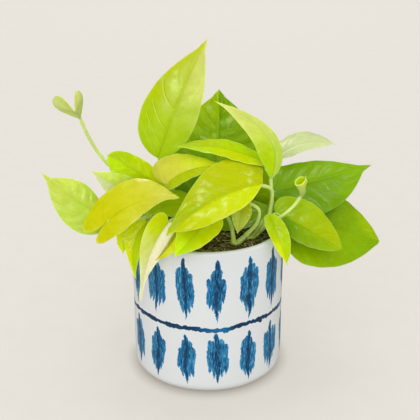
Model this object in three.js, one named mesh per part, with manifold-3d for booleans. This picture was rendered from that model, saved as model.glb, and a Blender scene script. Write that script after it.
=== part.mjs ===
// Potted neon pothos: a glazed cylinder pot, its potting mix, the rooted vines and every leaf blade.
// Millimetres, +Z up. The origin is the centre of the pot's flat underside and -Y is the front.

import * as THREE from 'three';
import { mergeVertices } from 'three/addons/utils/BufferGeometryUtils.js';
import Module from 'manifold-3d';

const wasm = await Module();
wasm.setup();

// Pot
const POT_HEIGHT = 118.6;
const POT_RADIUS = 60;
const POT_WALL = 4.5;
const POT_FLOOR = 6;
const POT_FOOT_ROUNDING = 8;
const POT_LIP_ROUNDING = 1.8;
const POT_INNER_ROUNDING = 3;
const POT_SIDES = 48;
const FOOT_STEPS = 5;
const LIP_STEPS = 3;

// Potting mix
const SOIL_LEVEL = 111;
const SOIL_CROWN = 2.5;
const SOIL_RELIEF = 0.9;
const SOIL_EDGE = 3;
const SOIL_SIDES = 36;
const SOIL_RINGS = 6;

// Leaves and vines
const BLADE_THICKNESS = 0.8;
const BLADE_ROWS = 9;
const BLADE_COLUMNS = 6;
const CROSS_STEPS = 12;
const DRIP_WIDTH = 0.12;
const WAVE_LAG = 1.7;
const PETIOLE_RADIUS = 1.3;
const PETIOLE_SIDES = 6;
const STEM_RADIUS = 2.2;
const STEM_SIDES = 8;
const STEM_DEPTH = 18;
const STEM_STEPS = 8;
const SEAT_GAP = 0.3;

// Numerical steps: for a surface normal, for welding vertices and for an outline's closed end.
const NORMAL_STEP = 0.02;
const WELD_DISTANCE = 1e-4;
const CLOSED_END = 1e-6;

const ROUGHNESS = { glaze: 0.25, mix: 0.95, vine: 0.45, blade: 0.4 };
const COLOURS = {
  glaze: 0xe9e8e6,
  mix: 0x3a2c1c,
  vine: 0xb9cf6e,
  neon: 0xb4d40a,
  lime: 0x9ccb12,
  yellow: 0xd9d21a,
  ochre: 0xcfc52a,
  cream: 0xe6e2b0,
  pale: 0xc9dc8e,
  green: 0x82b00c,
  deep: 0x5f9410,
};

// Each leaf: the petiole joins the midrib at base, and the midrib passes mid and ends at tip.
// face is the side that sees the light. Pairs are for the left and right half, seen from the base.
// half is the widest reach. fold raises each half from the midrib in degrees, and curl bends it on
// towards its edge. heart is how far the basal lobes reach back, as a share of the leaf's length.
// shoulder and point shape the outline: a small value is full and a large one is slender. drip is the
// share of the length that is the thread-like tip, 0 where the outline ends open, as on a rolled leaf.
// scroll above 1 keeps the curl near the edge. wave is the edge's height, its cycles and its phase.
const LEAVES = [
  { name: 'leaf_front_broad', tone: 'neon', base: [41, -22, 159], mid: [4, -54, 157],
    tip: [-29, -71, 137], face: [-0.1, -0.5, 0.85], half: [24, 30], fold: [20, 20],
    curl: [-8, -14], heart: [0, 0.22], shoulder: [1.1, 0.14], point: [0.9, 0.95], wave: [0.8, 2, 0.1] },
  { name: 'leaf_front_lower', tone: 'neon', base: [6, -42, 142], mid: [-9, -58, 133],
    tip: [-24, -67, 119], face: [-0.15, -0.6, 0.8], half: [13, 16], fold: [8, 8],
    curl: [-16, -10], heart: [0.05, 0.05], wave: [0.6, 2, 0.4] },
  { name: 'leaf_left_folded', tone: 'yellow', base: [-73, -50, 139], mid: [-48, -50, 155],
    tip: [-20, -45, 156], face: [-0.3, -0.6, 0.75], half: [26, 13.5], fold: [4, -10],
    curl: [-24, -20], heart: [0.75, 0.5], wave: [0.4, 2, 0], point: [0.85, 1.5] },
  { name: 'leaf_left_outer', tone: 'pale', base: [-76, -22, 134], mid: [-98, -24, 146],
    tip: [-123, -25, 169], face: [-0.3, -0.75, 0.6], half: [20, 14], fold: [6, 6],
    curl: [-14, -14], heart: [0.12, 0.12], drip: 0.1, wave: [0.8, 1.5, 0.2], shoulder: [0.5, 1.2] },
  { name: 'leaf_upper_left', tone: 'lime', base: [-37, -5, 151], mid: [-56, -7, 165],
    tip: [-76, -8, 177], face: [-0.2, -0.7, 0.7], half: [14, 11], fold: [10, 6],
    curl: [-20, -18], heart: [0.2, 0.2], point: [0.5, 0.5], drip: 0.03, wave: [0.8, 2, 0.3] },
  { name: 'leaf_left_mint', tone: 'pale', base: [-46, -20, 142], mid: [-65, -22, 155],
    tip: [-86, -23, 169.2], face: [-0.2, -0.7, 0.7], half: [12, 12], fold: [14, 8],
    curl: [-14, -14], heart: [0.1, 0.1], wave: [0.6, 2, 0.1] },
  { name: 'leaf_top_tall', tone: 'lime', base: [-38, 0, 172], mid: [-22, 2, 214],
    tip: [0, 8, 261], face: [-0.2, -0.9, 0.3], half: [25, 19], fold: [10, 10],
    curl: [-12, -10], heart: [0, 0], shoulder: [0.55, 0.7], point: [0.9, 0.9], wave: [0.8, 1.5, 0.2] },
  { name: 'leaf_back_quilted', tone: 'deep', base: [6, 22, 140], mid: [8, 34, 178],
    tip: [9, 42, 216], face: [0, -0.85, 0.5], half: [36, 36], fold: [8, 8],
    curl: [-16, -16], heart: [0.14, 0.14], wave: [1.4, 3, 0.2] },
  { name: 'leaf_arched_pale', tone: 'cream', base: [48, -10, 159], mid: [45, -4, 190],
    tip: [5, 6, 215], face: [0.1, -0.8, 0.6], half: [14, 7], fold: [16, 4],
    curl: [-10, -30], heart: [0, 0], shoulder: [0.7, 0.7], wave: [0.5, 2, 0] },
  { name: 'leaf_centre_lime', tone: 'neon', base: [42, -2, 170], mid: [9, -10, 183],
    tip: [-23, -18, 186], face: [0, -0.5, 0.87], half: [9, 10], fold: [6, 6],
    curl: [-16, -16], heart: [0.1, 0.1], wave: [0.6, 2, 0.2] },
  { name: 'leaf_centre_ochre', tone: 'ochre', base: [-30, -34, 162], mid: [-12, -28, 172],
    tip: [14, -14, 170], face: [-0.1, -0.5, 0.85], half: [24, 10], fold: [6, 14],
    curl: [-20, -10], heart: [0.1, 0.1], wave: [0.4, 2, 0.2], shoulder: [0.25, 0.5] },
  { name: 'leaf_right_pale', tone: 'pale', base: [56, 26, 166], mid: [80, 31, 176],
    tip: [103, 36, 172], face: [0.05, -0.3, 0.95], half: [17, 10], fold: [4, 4],
    curl: [-18, -18], heart: [0.08, 0.08], point: [0.7, 0.7], wave: [0.5, 2, 0.2] },
  { name: 'leaf_right_deep', tone: 'deep', base: [50, 10, 140], mid: [92, 16, 150],
    tip: [131, 26, 158], face: [0, -0.65, 0.76], half: [21, 30], fold: [6, 6],
    curl: [-12, -12], heart: [0.12, 0.12], drip: 0.1, wave: [0.8, 2, 0.1], shoulder: [0.3, 0.5] },
  { name: 'leaf_right_middle', tone: 'green', base: [52, -19, 134], mid: [75, -26, 124],
    tip: [101, -32, 110], face: [0.2, -0.7, 0.7], half: [23, 13], fold: [4, 4],
    curl: [-16, -16], heart: [0.16, 0.04], point: [0.7, 0.6], drip: 0.02, wave: [0.5, 2, 0.3],
    shoulder: [0.4, 0.5] },
  { name: 'leaf_right_low', tone: 'green', base: [66, -3, 124], mid: [103, 1, 113],
    tip: [138, 7, 100], face: [0.2, -0.65, 0.75], half: [30, 38], fold: [6, 6],
    curl: [-12, -12], heart: [0.1, 0.1], point: [0.7, 0.8], drip: 0.03, wave: [0.8, 2, 0.2],
    shoulder: [0.5, 0.3] },
  { name: 'leaf_right_drooping', tone: 'neon', base: [45, -32, 137], mid: [52, -42, 124],
    tip: [59, -45, 102], face: [0.2, -0.9, 0.35], half: [8.5, 6.5], fold: [14, 14],
    curl: [-10, -10], heart: [0.05, 0.05], wave: [0.4, 2, 0.1], point: [0.6, 0.85] },
  { name: 'leaf_centre_small', tone: 'lime', base: [27, -32, 148], mid: [24, -36, 138],
    tip: [22, -38, 125], face: [-0.2, -0.9, 0.3], half: [8, 7], fold: [16, 16],
    curl: [-10, -10], heart: [0.05, 0.05], wave: [0.2, 2, 0.1] },
  { name: 'leaf_hanging_left', tone: 'lime', base: [-46, -28, 130], mid: [-56, -37, 113],
    tip: [-54, -40, 89], face: [-0.3, -0.9, 0.3], half: [8, 9], fold: [12, 12],
    curl: [-10, -10], heart: [0.06, 0.06], wave: [0.4, 2, 0.2], point: [0.85, 1.6] },
  { name: 'leaf_hanging_cream', tone: 'cream', base: [-29, -48, 137], mid: [-43, -54, 112],
    tip: [-51, -42, 71], face: [0.2, -0.9, 0.3], half: [10, 13], fold: [22, 22],
    curl: [-8, -8], heart: [0.1, 0.1], shoulder: [0.5, 0.35], point: [1.7, 1.7], wave: [0.4, 2, 0.2] },
  { name: 'leaf_hanging_olive', tone: 'green', base: [-19, -44, 136], mid: [-26, -60, 127],
    tip: [-38, -62, 114], face: [0.1, -0.8, 0.5], half: [7, 2.5], fold: [10, 10],
    curl: [-10, -10], heart: [0.06, 0.06], wave: [0.3, 2, 0.2] },
  { name: 'leaf_hanging_small', tone: 'lime', base: [-53, -22, 127], mid: [-62, -29, 118],
    tip: [-64, -31, 106], face: [-0.3, -0.9, 0.3], half: [8, 8], fold: [10, 10],
    curl: [-10, -10], heart: [0.06, 0.06], wave: [0.3, 2, 0.2] },
  { name: 'leaf_inner_left', tone: 'green', base: [-12, -24, 141], mid: [-28, -28, 144],
    tip: [-46, -34, 138], face: [-0.1, -0.7, 0.7], half: [11, 12], fold: [6, 6],
    curl: [-14, -14], heart: [0.08, 0.08], wave: [0.3, 2, 0.2] },
  { name: 'leaf_inner_middle', tone: 'deep', base: [-4, -8, 140], mid: [-14, -13, 152],
    tip: [-24, -16, 164], face: [-0.1, -0.85, 0.5], half: [15, 15], fold: [6, 6],
    curl: [-14, -14], heart: [0.08, 0.08], wave: [0.4, 2, 0.2] },
  { name: 'leaf_inner_right', tone: 'deep', base: [36, 4, 128], mid: [38, 0, 150],
    tip: [42, -2, 168], face: [0, -0.95, 0.3], half: [13, 13], fold: [6, 6],
    curl: [-14, -14], heart: [0.08, 0.08], wave: [0.4, 2, 0.2] },
  { name: 'leaf_inner_low', tone: 'deep', base: [2, -2, 124], mid: [28, -8, 130],
    tip: [58, -8, 129], face: [0, -0.85, 0.5], half: [13, 13], fold: [6, 6],
    curl: [-14, -14], heart: [0.08, 0.08], wave: [0.4, 2, 0.2] },
  { name: 'leaf_back_centre', tone: 'green', base: [0, 44, 128], mid: [2, 70, 132],
    tip: [4, 98, 112], face: [0, 0.3, 0.95], half: [24, 24], fold: [8, 8],
    curl: [-16, -16], heart: [0.12, 0.12], wave: [0.8, 2, 0.2] },
  { name: 'leaf_back_left', tone: 'neon', base: [-30, 34, 126], mid: [-50, 56, 128],
    tip: [-72, 78, 108], face: [-0.2, 0.3, 0.93], half: [22, 22], fold: [8, 8],
    curl: [-16, -16], heart: [0.12, 0.12], wave: [0.8, 2, 0.6] },
  { name: 'leaf_back_right', tone: 'lime', base: [30, 38, 128], mid: [52, 58, 130],
    tip: [74, 80, 108], face: [0.2, 0.3, 0.93], half: [22, 22], fold: [8, 8],
    curl: [-16, -16], heart: [0.12, 0.12], wave: [0.8, 2, 0.9] },
  { name: 'leaf_back_left_low', tone: 'lime', base: [-44, 18, 122], mid: [-68, 32, 120],
    tip: [-92, 44, 100], face: [-0.3, 0.2, 0.93], half: [18, 18], fold: [8, 8],
    curl: [-16, -16], heart: [0.12, 0.12], wave: [0.6, 2, 0.2] },
  { name: 'leaf_back_right_low', tone: 'green', base: [50, 20, 124], mid: [76, 36, 122],
    tip: [100, 52, 102], face: [0.3, 0.2, 0.93], half: [19, 19], fold: [8, 8],
    curl: [-16, -16], heart: [0.12, 0.12], wave: [0.6, 2, 0.5] },
  { name: 'leaf_back_hanging_left', tone: 'green', base: [-20, 54, 124], mid: [-25, 70, 112],
    tip: [-30, 74, 84], face: [-0.2, 0.9, 0.4], half: [13, 13], fold: [12, 12],
    curl: [-12, -12], heart: [0.08, 0.08], wave: [0.5, 2, 0.2] },
  { name: 'leaf_back_hanging_right', tone: 'neon', base: [24, 54, 124], mid: [30, 70, 113],
    tip: [34, 74, 88], face: [0.3, 0.9, 0.4], half: [12, 12], fold: [12, 12],
    curl: [-12, -12], heart: [0.08, 0.08], wave: [0.5, 2, 0.7] },
  { name: 'leaf_back_upper_left', tone: 'lime', base: [-12, 31, 142], mid: [-26, 44, 147],
    tip: [-44, 60, 137], face: [-0.3, 0.2, 0.93], half: [17, 17], fold: [8, 8],
    curl: [-16, -16], heart: [0.1, 0.1], wave: [0.6, 2, 0.3] },
  { name: 'leaf_back_upper_right', tone: 'deep', base: [26, 34, 143], mid: [41, 46, 147],
    tip: [56, 62, 135], face: [0.3, 0.2, 0.93], half: [17, 17], fold: [8, 8],
    curl: [-16, -16], heart: [0.1, 0.1], wave: [0.6, 2, 0.8] },
  { name: 'leaf_young_heart', tone: 'lime', base: [-94.5, -8, 205], mid: [-94, -15, 210],
    tip: [-96, -22, 214], face: [-0.52, 0.3, 0.8], half: [22, 32], fold: [46, 46],
    curl: [130, 225], scroll: 4, heart: [0, 0], shoulder: [0.4, 0.4], point: [0.5, 0.5],
    wave: [0, 1, 0], columns: 14 },
  { name: 'leaf_young_rolled', tone: 'lime', base: [70, -26, 149.7], mid: [68, -30, 155.7],
    tip: [64, -35, 162.7], face: [0.9, 0.3, 0.3], half: [12, 12], fold: [10, 10],
    curl: [165, 165], heart: [0, 0], shoulder: [0.7, 0.7], point: [0, 0], drip: 0, wave: [0, 1, 0],
    columns: 12 },
];

// Each vine: a short stem that stands in the mix, and the petioles that leave it for their leaves.
// at is the stem point that a petiole grows from, and via are the points that it passes.
const VINES = [
  { name: 'vine_front_centre', stem: [[12, -30, 108], [20, -29, 112], [29, -27, 119]], petioles: [
    { leaf: 'leaf_centre_small', at: 2, via: [[37, -27, 129], [38, -29, 141]] },
    { leaf: 'leaf_front_lower', at: 1, via: [[18, -25, 125], [13, -33, 138]] },
  ] },
  { name: 'vine_front_right', stem: [[28, -18, 108], [36, -17, 115], [46, -16, 125]], petioles: [
    { leaf: 'leaf_front_broad', at: 2, via: [[48, -17, 140], [48, -19, 153]] },
    { leaf: 'leaf_arched_pale', at: 2, via: [[49, -13, 142]] },
    { leaf: 'leaf_young_rolled', at: 2, via: [[49, -26, 131], [56, -29, 136], [64, -28, 143]] },
    { leaf: 'leaf_right_drooping', at: 1, via: [[42, -24, 130]] },
    { leaf: 'leaf_right_middle', at: 2, via: [] },
  ] },
  { name: 'vine_front_left', stem: [[-14, -20, 108], [-16, -22, 116], [-17, -26, 125]], petioles: [
    { leaf: 'leaf_hanging_cream', at: 2, via: [[-24, -36, 136]] },
    { leaf: 'leaf_hanging_olive', at: 2, via: [[-17, -34, 134]] },
    { leaf: 'leaf_inner_left', at: 1, via: [[-8, -22, 132]] },
  ] },
  { name: 'vine_left', stem: [[-32, -6, 108], [-34, -7, 117], [-38, -8, 125]], petioles: [
    { leaf: 'leaf_left_folded', at: 2, via: [[-46, -28, 134], [-62, -42, 135]] },
    { leaf: 'leaf_left_outer', at: 2, via: [[-58, -14, 132]] },
    { leaf: 'leaf_left_mint', at: 2, via: [[-42, -10, 134]] },
    { leaf: 'leaf_upper_left', at: 1, via: [[-36, -1, 134]] },
    { leaf: 'leaf_young_heart', at: 1, via: [[-50, 6, 146], [-76, 2, 166], [-84, -1, 178], [-90, -4, 191]] },
    { leaf: 'leaf_hanging_left', at: 1, via: [[-38, -20, 128]] },
    { leaf: 'leaf_hanging_small', at: 2, via: [[-46, -15, 128]] },
  ] },
  { name: 'vine_centre', stem: [[-8, 4, 108], [-10, 4, 116], [-14, 4, 124]], petioles: [
    { leaf: 'leaf_top_tall', at: 2, via: [[-25, 6, 144], [-32, 5, 158]] },
    { leaf: 'leaf_centre_ochre', at: 2, via: [[-26, -8, 144], [-30, -20, 155]] },
    { leaf: 'leaf_inner_middle', at: 2, via: [[-8, -1, 133]] },
    { leaf: 'leaf_inner_low', at: 1, via: [[-4, 1, 121]] },
  ] },
  { name: 'vine_centre_right', stem: [[24, 8, 108], [25, 9, 115], [28, 10, 121]], petioles: [
    { leaf: 'leaf_centre_lime', at: 2, via: [[36, 14, 142], [44, 9, 160]] },
    { leaf: 'leaf_inner_right', at: 1, via: [[32, 7, 122]] },
  ] },
  { name: 'vine_back_centre', stem: [[6, 22, 108], [6, 23, 118], [6, 25, 126]], petioles: [
    { leaf: 'leaf_back_quilted', at: 2, via: [] },
    { leaf: 'leaf_back_upper_left', at: 2, via: [[-1, 27, 136]] },
    { leaf: 'leaf_back_upper_right', at: 2, via: [[16, 30, 136]] },
    { leaf: 'leaf_back_centre', at: 1, via: [[2, 34, 125]] },
  ] },
  { name: 'vine_right', stem: [[38, 8, 108], [41, 9, 117], [44, 10, 126]], petioles: [
    { leaf: 'leaf_right_pale', at: 2, via: [[45, 26, 144]] },
    { leaf: 'leaf_right_deep', at: 2, via: [] },
    { leaf: 'leaf_right_low', at: 1, via: [[54, 2, 124]] },
    { leaf: 'leaf_back_right_low', at: 1, via: [[45, 15, 122]] },
  ] },
  { name: 'vine_back_left', stem: [[-22, 26, 108], [-23, 28, 115], [-25, 30, 120]], petioles: [
    { leaf: 'leaf_back_left', at: 2, via: [] },
    { leaf: 'leaf_back_left_low', at: 1, via: [[-34, 22, 119]] },
    { leaf: 'leaf_back_hanging_left', at: 1, via: [[-18, 44, 122]] },
  ] },
  { name: 'vine_back_right', stem: [[24, 34, 108], [25, 35, 115], [26, 36, 121]], petioles: [
    { leaf: 'leaf_back_right', at: 2, via: [] },
    { leaf: 'leaf_back_hanging_right', at: 1, via: [[24, 46, 122]] },
  ] },
];

const vector = (xyz) => new THREE.Vector3(...xyz);

// Share of the widest reach at t along the midrib: full near the base, with a narrow drip tip.
function outline(leaf, t, side) {
  const shoulder = (leaf.shoulder ?? [0.5, 0.5])[side];
  const point = (leaf.point ?? [0.85, 0.85])[side];
  const drip = leaf.drip ?? 0.06;
  const u = Math.min(t / (1 - drip), 1);
  const widest = shoulder / (shoulder + point);
  const body = (u ** shoulder * (1 - u) ** point) / (widest ** shoulder * (1 - widest) ** point);
  const thread = drip > 0 ? DRIP_WIDTH * Math.sqrt(t) * Math.min(1, (1 - t) / drip) : 0;
  return Math.hypot(body, thread);
}

// The midrib is a parabola through base, mid and tip, with the blade's axes carried along it.
function midribFrame(leaf, t) {
  const [base, mid, tip] = [leaf.base, leaf.mid, leaf.tip].map(vector);
  const control = mid.clone().multiplyScalar(2).addScaledVector(base, -0.5).addScaledVector(tip, -0.5);
  const curve = new THREE.QuadraticBezierCurve3(base, control, tip);
  const along = curve.getTangent(t);
  const up = vector(leaf.face);
  up.addScaledVector(along, -up.dot(along)).normalize();
  const right = along.clone().cross(up);
  return { point: curve.getPoint(t), along, up, right, length: base.distanceTo(tip) };
}

// A point of the blade's middle surface: t from base to tip, s from -1 (left edge) to 1 (right edge).
function bladePoint(leaf, t, s) {
  const frame = midribFrame(leaf, t);
  const side = s < 0 ? 0 : 1;
  const reach = Math.abs(s);
  const share = outline(leaf, t, side);
  const width = leaf.half[side] * share;
  let across = 0;
  let rise = 0;
  for (let k = 0; k < CROSS_STEPS; k += 1) {
    const r = (reach * (k + 0.5)) / CROSS_STEPS;
    const turned = THREE.MathUtils.degToRad(leaf.fold[side] + leaf.curl[side] * r ** (leaf.scroll ?? 1));
    across += (width * reach * Math.cos(turned)) / CROSS_STEPS;
    rise += (width * reach * Math.sin(turned)) / CROSS_STEPS;
  }
  const [height, cycles, phase] = leaf.wave;
  rise += height * reach ** 2 * share * Math.sin(2 * Math.PI * (cycles * t + phase) + side * WAVE_LAG);
  const back = leaf.heart[side] * frame.length * Math.sqrt(share) * reach ** 1.2 * (1 - t) ** 5;
  return frame.point
    .addScaledVector(frame.right, s < 0 ? -across : across)
    .addScaledVector(frame.up, rise)
    .addScaledVector(frame.along, -back);
}

function bladeNormal(leaf, t, s) {
  const [t0, t1] = [Math.max(t - NORMAL_STEP, 0.001), Math.min(t + NORMAL_STEP, 0.999)];
  const [s0, s1] = [Math.max(s - NORMAL_STEP, -1), Math.min(s + NORMAL_STEP, 1)];
  const along = bladePoint(leaf, t1, s).sub(bladePoint(leaf, t0, s));
  const across = bladePoint(leaf, t, s1).sub(bladePoint(leaf, t, s0));
  if (across.length() < WELD_DISTANCE) return midribFrame(leaf, t).up;
  return across.cross(along).normalize();
}

// A closed blade: two alike faces of the same grid and a rim that joins them round the outline.
function bladeGeometry(leaf) {
  const positions = [];
  const push = (t, s) => {
    const middle = bladePoint(leaf, t, s);
    const normal = bladeNormal(leaf, t, s);
    const index = positions.length / 6;
    for (const sign of [0.5, -0.5]) {
      const point = middle.clone().addScaledVector(normal, sign * BLADE_THICKNESS);
      positions.push(point.x, point.y, point.z);
    }
    return index;
  };
  const rows = [];
  const columns = leaf.columns ?? BLADE_COLUMNS;
  for (let i = 0; i <= BLADE_ROWS; i += 1) {
    const u = i / BLADE_ROWS;
    const t = u * u * (3 - 2 * u);
    const pole = outline(leaf, t, 0) < CLOSED_END;
    const row = [];
    for (let j = 0; j <= columns; j += 1) {
      if (pole) row.push(j === 0 ? push(t, 0) : row[0]);
      else row.push(push(t, (2 * j) / columns - 1));
    }
    rows.push(row);
  }
  const indices = [];
  const face = (a, b, c) => {
    if (a === b || b === c || a === c) return;
    indices.push(2 * a, 2 * b, 2 * c, 2 * a + 1, 2 * c + 1, 2 * b + 1);
  };
  const rim = (a, b) => {
    indices.push(2 * a, 2 * a + 1, 2 * b + 1, 2 * a, 2 * b + 1, 2 * b);
  };
  for (let i = 0; i < BLADE_ROWS; i += 1) {
    for (let j = 0; j < columns; j += 1) {
      const [a, b, c, d] = [rows[i][j], rows[i][j + 1], rows[i + 1][j + 1], rows[i + 1][j]];
      if (j < columns / 2) {
        face(a, b, c);
        face(a, c, d);
      } else {
        face(a, b, d);
        face(b, c, d);
      }
    }
    rim(rows[i + 1][0], rows[i][0]);
    rim(rows[i][columns], rows[i + 1][columns]);
  }
  const last = rows[BLADE_ROWS];
  for (let j = 0; j < columns; j += 1) {
    if (last[j] !== last[j + 1]) rim(last[j + 1], last[j]);
  }
  const geometry = new THREE.BufferGeometry();
  geometry.setAttribute('position', new THREE.Float32BufferAttribute(positions, 3));
  geometry.setIndex(indices);
  return geometry;
}

const part = new THREE.Group();

function addMesh(name, geometry, colour, roughness) {
  geometry.computeVertexNormals();
  const material = new THREE.MeshStandardMaterial({ color: colour, roughness, metalness: 0 });
  const mesh = new THREE.Mesh(geometry, material);
  mesh.name = name;
  part.add(mesh);
}

function potGeometry() {
  const inner = POT_RADIUS - POT_WALL;
  const profile = [new THREE.Vector2(0, 0)];
  const arc = (centreX, centreY, radius, from, to, steps) => {
    for (let i = 0; i <= steps; i += 1) {
      const angle = THREE.MathUtils.degToRad(from + ((to - from) * i) / steps);
      const [x, y] = [radius * Math.cos(angle), radius * Math.sin(angle)];
      profile.push(new THREE.Vector2(centreX + x, centreY + y));
    }
  };
  arc(POT_RADIUS - POT_FOOT_ROUNDING, POT_FOOT_ROUNDING, POT_FOOT_ROUNDING, -90, 0, FOOT_STEPS);
  arc(POT_RADIUS - POT_LIP_ROUNDING, POT_HEIGHT - POT_LIP_ROUNDING, POT_LIP_ROUNDING, 0, 90, LIP_STEPS);
  arc(inner + POT_LIP_ROUNDING, POT_HEIGHT - POT_LIP_ROUNDING, POT_LIP_ROUNDING, 90, 180, LIP_STEPS);
  const corner = POT_INNER_ROUNDING;
  arc(inner - corner, POT_FLOOR + corner, corner, 0, -90, LIP_STEPS);
  profile.push(new THREE.Vector2(0, POT_FLOOR));
  return new THREE.LatheGeometry(profile, POT_SIDES).rotateX(Math.PI / 2);
}

// A round rod along a smooth curve through the points.
function rodGeometry(points, radius, sides, steps) {
  const section = new THREE.Shape();
  for (let i = 0; i < sides; i += 1) {
    const angle = (2 * Math.PI * i) / sides;
    const [x, y] = [radius * Math.cos(angle), radius * Math.sin(angle)];
    if (i === 0) section.moveTo(x, y);
    else section.lineTo(x, y);
  }
  section.closePath();
  const extrudePath = new THREE.CatmullRomCurve3(points, false, 'centripetal');
  return new THREE.ExtrudeGeometry(section, { steps, extrudePath, bevelEnabled: false });
}

function solidOf(geometry) {
  const bare = geometry.clone();
  bare.deleteAttribute('normal');
  bare.deleteAttribute('uv');
  const merged = mergeVertices(bare, WELD_DISTANCE);
  return new wasm.Manifold(new wasm.Mesh({
    numProp: 3,
    vertProperties: new Float32Array(merged.attributes.position.array),
    triVerts: new Uint32Array(merged.index.array),
  }));
}

function geometryOf(solid) {
  const { numProp, vertProperties, triVerts } = solid.getMesh();
  const positions = new Float32Array((vertProperties.length / numProp) * 3);
  for (let i = 0; i < positions.length / 3; i += 1) {
    positions.set(vertProperties.subarray(i * numProp, i * numProp + 3), 3 * i);
  }
  const geometry = new THREE.BufferGeometry();
  geometry.setAttribute('position', new THREE.BufferAttribute(positions, 3));
  geometry.setIndex(new THREE.BufferAttribute(new Uint32Array(triVerts), 1));
  return geometry;
}

// The petiole ends just under the blade's base and runs in along the midrib or up to it.
function petioleEnd(leaf, from) {
  const frame = midribFrame(leaf, 0);
  const arriving = frame.point.clone().sub(from).normalize();
  const slope = Math.sqrt(Math.max(0, 1 - arriving.dot(frame.up) ** 2));
  const droop = Math.tan(THREE.MathUtils.degToRad(Math.max(0, -Math.min(...leaf.fold))));
  const drop = BLADE_THICKNESS / 2 + SEAT_GAP + PETIOLE_RADIUS * (slope + droop);
  return frame.point.addScaledVector(frame.up, -drop);
}

const leafNamed = (name) => LEAVES.find((leaf) => leaf.name === name);

function vineSolid(vine) {
  const stem = vine.stem.map(vector);
  const foot = stem[0].clone().setZ(SOIL_LEVEL - STEM_DEPTH);
  let solid = solidOf(rodGeometry([foot, ...stem], STEM_RADIUS, STEM_SIDES, STEM_STEPS));
  for (const { leaf, at, via } of vine.petioles) {
    const points = [stem[at], ...via.map(vector)];
    points.push(petioleEnd(leafNamed(leaf), points[points.length - 1]));
    solid = solid.add(solidOf(rodGeometry(points, PETIOLE_RADIUS, PETIOLE_SIDES, 2 * points.length)));
  }
  return solid;
}

// The mix fills the pot to just under the lip, with a low crown and small humps on its top.
function soilSolid() {
  const radius = POT_RADIUS - POT_WALL - SEAT_GAP;
  const profile = [new THREE.Vector2(0, POT_FLOOR + SEAT_GAP)];
  profile.push(new THREE.Vector2(radius - SOIL_EDGE, POT_FLOOR + SEAT_GAP));
  profile.push(new THREE.Vector2(radius, POT_FLOOR + SEAT_GAP + SOIL_EDGE));
  for (let ring = SOIL_RINGS; ring > 0; ring -= 1) {
    profile.push(new THREE.Vector2((radius * ring) / SOIL_RINGS, SOIL_LEVEL));
  }
  profile.push(new THREE.Vector2(0, SOIL_LEVEL));
  const geometry = new THREE.LatheGeometry(profile, SOIL_SIDES).rotateX(Math.PI / 2);
  const position = geometry.attributes.position;
  for (let i = 0; i < position.count; i += 1) {
    const [x, y, z] = [position.getX(i), position.getY(i), position.getZ(i)];
    if (z > SOIL_LEVEL - 0.01) {
      const crown = SOIL_CROWN * (1 - (x * x + y * y) / radius ** 2);
      const humps = Math.sin(x * 0.42 + 1.3) * Math.cos(y * 0.37) + Math.sin(x * 0.21 - y * 0.3);
      position.setZ(i, z + crown + SOIL_RELIEF * humps);
    }
  }
  return solidOf(geometry);
}

addMesh('pot', potGeometry(), COLOURS.glaze, ROUGHNESS.glaze);
// Each stem stands in a plain hole of its own in the mix.
let soil = soilSolid();
for (const vine of VINES) {
  const foot = vector(vine.stem[0]).setZ(SOIL_LEVEL - STEM_DEPTH - SEAT_GAP);
  const rise = vine.stem.map(vector);
  const hole = rodGeometry([foot, ...rise], STEM_RADIUS + SEAT_GAP, STEM_SIDES, STEM_STEPS);
  soil = soil.subtract(solidOf(hole));
  addMesh(vine.name, geometryOf(vineSolid(vine)), COLOURS.vine, ROUGHNESS.vine);
}
addMesh('potting_mix', geometryOf(soil), COLOURS.mix, ROUGHNESS.mix);
for (const leaf of LEAVES) addMesh(leaf.name, bladeGeometry(leaf), COLOURS[leaf.tone], ROUGHNESS.blade);

export default part;
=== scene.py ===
"""A potted neon pothos: a glazed pot with brush dabs, its potting mix, rooted vines and glossy leaves.

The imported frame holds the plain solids. Each operator makes the finished pieces that stand for some of
them. The tables give lengths in millimetres, as the solids do, and the scene is in metres.
"""

import bpy
import numpy as np
from bpy.props import FloatProperty, FloatVectorProperty, IntProperty, PointerProperty
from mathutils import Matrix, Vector


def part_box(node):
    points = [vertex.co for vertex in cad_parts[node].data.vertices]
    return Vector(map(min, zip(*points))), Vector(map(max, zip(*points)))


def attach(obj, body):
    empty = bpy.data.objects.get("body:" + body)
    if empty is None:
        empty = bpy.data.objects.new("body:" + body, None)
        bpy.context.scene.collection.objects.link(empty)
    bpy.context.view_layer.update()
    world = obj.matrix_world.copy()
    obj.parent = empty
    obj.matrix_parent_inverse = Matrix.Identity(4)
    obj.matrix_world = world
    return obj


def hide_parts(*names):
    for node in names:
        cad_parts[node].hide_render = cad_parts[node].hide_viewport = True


bl_info = {
    "name": "Potted neon pothos",
    "version": (1, 0, 0),
    "blender": (4, 5, 0),
    "location": "3D View > Sidebar > Pothos",
    "description": "Builds a potted neon pothos around its packed frame",
    "category": "Object",
}

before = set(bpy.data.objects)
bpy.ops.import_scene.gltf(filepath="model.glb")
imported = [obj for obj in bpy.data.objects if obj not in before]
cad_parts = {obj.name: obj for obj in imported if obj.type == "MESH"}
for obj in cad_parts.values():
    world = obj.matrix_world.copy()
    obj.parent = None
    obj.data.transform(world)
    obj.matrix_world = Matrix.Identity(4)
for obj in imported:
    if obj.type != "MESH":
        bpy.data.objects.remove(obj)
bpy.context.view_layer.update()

MM = 0.001

# The form of the solids that the finished pieces follow, in millimetres.
POT_FLOOR = 6
POT_INNER_ROUNDING = 3
SOIL_LEVEL = 111
SOIL_CROWN = 2.5
SOIL_RELIEF = 0.9
SOIL_EDGE = 3
STEM_DEPTH = 18
SEAT_GAP = 0.3

# Steps from a blade's midrib to its edge in which its curl is summed, as in the solids, the width of
# its thread-like tip as a share of its reach, and how far its two edges' waves differ, in radians.
CROSS_STEPS = 12
DRIP_WIDTH = 0.12
WAVE_LAG = 1.7

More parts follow.
